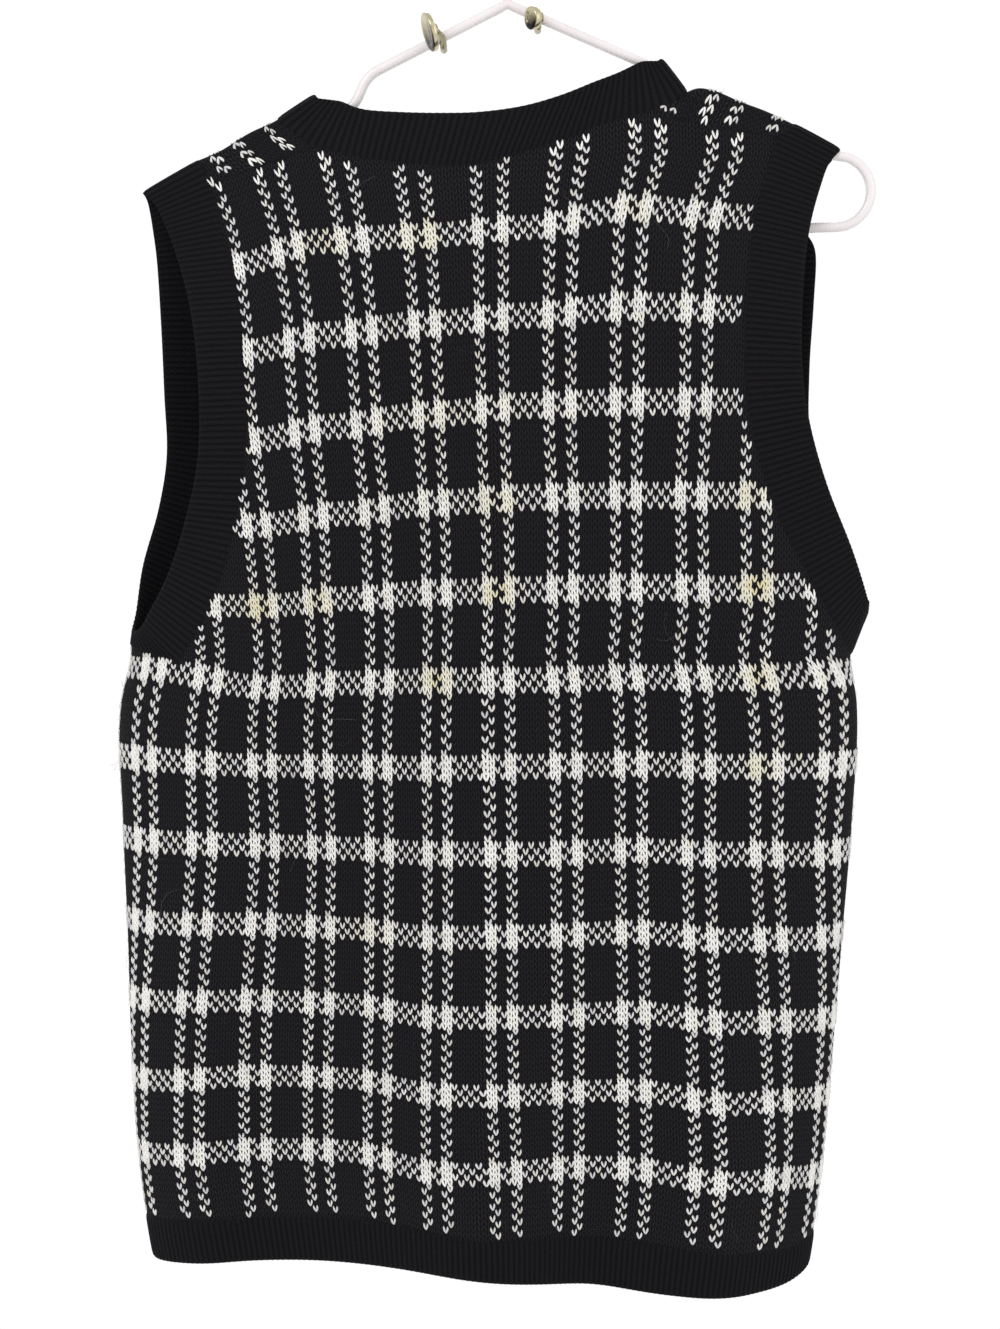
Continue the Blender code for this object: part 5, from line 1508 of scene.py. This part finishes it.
def pegAxis(facts):
    turn, roll = facts["turn"], facts["roll"]
    return np.array([math.sin(turn) * math.cos(roll), -math.cos(turn), math.sin(turn) * math.sin(roll)])


def pegRings(facts):
    # the rings of a peg from its tail to the floor of its dish: middle, way along and radius
    form, sizes = hangerForm, pegSizes
    slope, apex = math.atan2(-form["armEnd"][1], form["armEnd"][0]), tilted(0.0, -form["apexDrop"])
    reach = facts["stemX"] - apex[0]
    armZ = apex[2] + form["apexRise"] * (1 - abs(reach) / form["armEnd"][0])
    armZ -= abs(reach) * math.tan(slope - math.copysign(form["tilt"], reach))
    stem, neck, edge = sizes["stemRadius"], sizes["neckRadius"], sizes["stemEdge"]
    below = (form["tubeRadius"] + stem + sizes["gap"]) / math.cos(slope)
    foot = np.array([facts["stemX"], 0.0, armZ - below])
    head, radius, half = np.array(facts["head"]), facts["radius"], facts["thick"] / 2
    axis, ahead = pegAxis(facts), np.array([0.0, -1.0, 0.0])
    back, tail = head - axis * (half + sizes["neckReach"]), foot - ahead * sizes["stemLength"]
    bend = np.array([foot[0], (foot[1] + back[1]) / 2, (foot[2] + back[2]) / 2])
    gap, flare = sizes["neckFlare"]
    outer, middle, depth = radius - sizes["chamfer"], radius - sizes["halfChamfer"], sizes["chamferDepth"]
    face = half - sizes["halfChamfer"]
    rim, floor = sizes["dish"]
    return [
        (tail, ahead, 0.0), (tail, ahead, stem - edge), (tail + ahead * edge, ahead, stem),
        (foot + ahead * form["tubeRadius"], ahead, stem), (bend, axis + ahead, stem),
        (back, axis, neck), (head - axis * (half + gap), axis, neck + flare),
        (head - axis * half, axis, outer), (head - axis * face, axis, middle),
        (head - axis * (half - depth), axis, radius), (head + axis * (half - depth), axis, radius),
        (head + axis * face, axis, middle), (head + axis * half, axis, outer),
        (head + axis * half, axis, radius * rim),
        (head + axis * (half - sizes["dishDepth"]), axis, radius * floor),
        (head + axis * (half - sizes["dishDepth"]), axis, 0.0),
    ]


def peg(name):
    facts, sides = pegs[name], pegSizes["sides"]
    points, faces, loops = [], [], []
    for centre, way, ringRadius in pegRings(facts):
        across = unit(np.cross(way, [0.0, 0.0, 1.0]))
        upright = np.cross(unit(way), across)
        loop = []
        for k in range(sides if ringRadius else 1):
            angle = 2 * math.pi * k / sides
            loop.append(len(points))
            points.append(centre + ringRadius * (math.cos(angle) * across + math.sin(angle) * upright))
        loops.append(loop)
    for a, b in zip(loops, loops[1:]):
        for k in range(sides):
            m = (k + 1) % sides
            if len(a) == 1:
                faces.append((a[0], b[m], b[k]))
            elif len(b) == 1:
                faces.append((a[k], a[m], b[0]))
            else:
                faces.append((a[k], a[m], b[m], b[k]))
    made = newMesh(name, points, faces, paleBrass)
    made.data.set_sharp_from_angle(angle=math.radians(40.0))
    # Painted shade: the end face is darker towards its bottom, and the stem behind the head is darker all
    # over.
    away, half, amounts = np.array(points) - np.array(facts["head"]), facts["thick"] / 2, paintedShadeAmounts
    ahead, low = away @ pegAxis(facts), np.clip(0.5 - away[:, 2] / facts["radius"], 0.0, 1.0)
    behind = np.where(ahead < -half - amounts["stemGap"], amounts["stem"], 0.0)
    addAttribute(made.data, "paintedShade", "FLOAT", np.where(ahead > half - amounts["faceDepth"], low, behind))
    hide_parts(facts["node"])
    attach(made, "root")


peg("leftPeg")
peg("rightPeg")
print("pegs made")


# ---- stage, light and camera ----


def stagePiece():
    # a round white cove: flat floor, curved foot and upright wall, the same from every side
    facts = {"floor": -1.05, "radius": 4.5, "cove": 1.5, "top": 5.0, "sides": 96, "steps": 10}
    profile = [(0.0, facts["floor"]), (facts["radius"] - facts["cove"], facts["floor"])]
    for k in range(1, facts["steps"] + 1):
        angle = math.pi / 2 * k / facts["steps"]
        profile.append((facts["radius"] - facts["cove"] * (1 - math.sin(angle)),
                        facts["floor"] + facts["cove"] * (1 - math.cos(angle))))
    profile.append((facts["radius"], facts["top"]))
    points, faces = [], []
    for radius, height in profile:
        for k in range(facts["sides"]):
            turn = 2 * math.pi * k / facts["sides"]
            points.append((radius * math.cos(turn), radius * math.sin(turn), height))
    for i in range(len(profile) - 1):
        for k in range(facts["sides"]):
            m = (k + 1) % facts["sides"]
            faces.append((i * facts["sides"] + k, i * facts["sides"] + m,
                          (i + 1) * facts["sides"] + m, (i + 1) * facts["sides"] + k))
    cove = newPiece("studioCove", points, faces)
    # White paper lit so brightly that it shows no shade.
    material = newMaterial("white paper backdrop")[0]
    shaded(material, "ShaderNodeEmission", Color=linear("#ffffff"), Strength=1.02)
    cove.data.materials.append(material)
    return cove


stagePiece()

lights = (  # name, place, size and power of each soft light
    ("keyLight", (-1.1, -1.7, 0.9), 0.9, 13.0),
    ("fillLight", (1.5, -1.3, 0.1), 1.2, 4.0),
    ("backLight", (0.3, 1.6, 0.8), 1.2, 9.0),
)
lightAim = (0.0, 0.0, -0.45)
for name, place, size, power in lights:
    lamp = bpy.data.lights.new(name, "AREA")
    lamp.size, lamp.energy = size, power
    light = bpy.data.objects.new(name, lamp)
    scene.collection.objects.link(light)
    light.location = place
    aim = np.array(lightAim) - np.array(place)
    tip, turn = math.acos(-aim[2] / np.linalg.norm(aim)), math.atan2(aim[1], aim[0]) - math.pi / 2
    light.rotation_euler = (tip, 0.0, turn)

world = bpy.data.worlds.new("paleRoom")
world.use_nodes = True
world.node_tree.nodes["Background"].inputs[0].default_value = linear("#f4f6fa")
world.node_tree.nodes["Background"].inputs[1].default_value = 0.9
scene.world = world
scene.view_settings.view_transform = "Standard"

cameraFacts = {"place": (-0.0018, -1.2, -0.3676), "dip": math.radians(3.954), "lens": 56.77, "sensor": 36.0}
lens = bpy.data.cameras.new("camera")
lens.sensor_fit, lens.sensor_height, lens.lens = "VERTICAL", cameraFacts["sensor"], cameraFacts["lens"]
camera = bpy.data.objects.new("camera", lens)
scene.collection.objects.link(camera)
camera.location = cameraFacts["place"]
camera.rotation_euler = (math.pi / 2 - cameraFacts["dip"], 0.0, 0.0)
scene.camera = camera
print("stage, light and camera made")
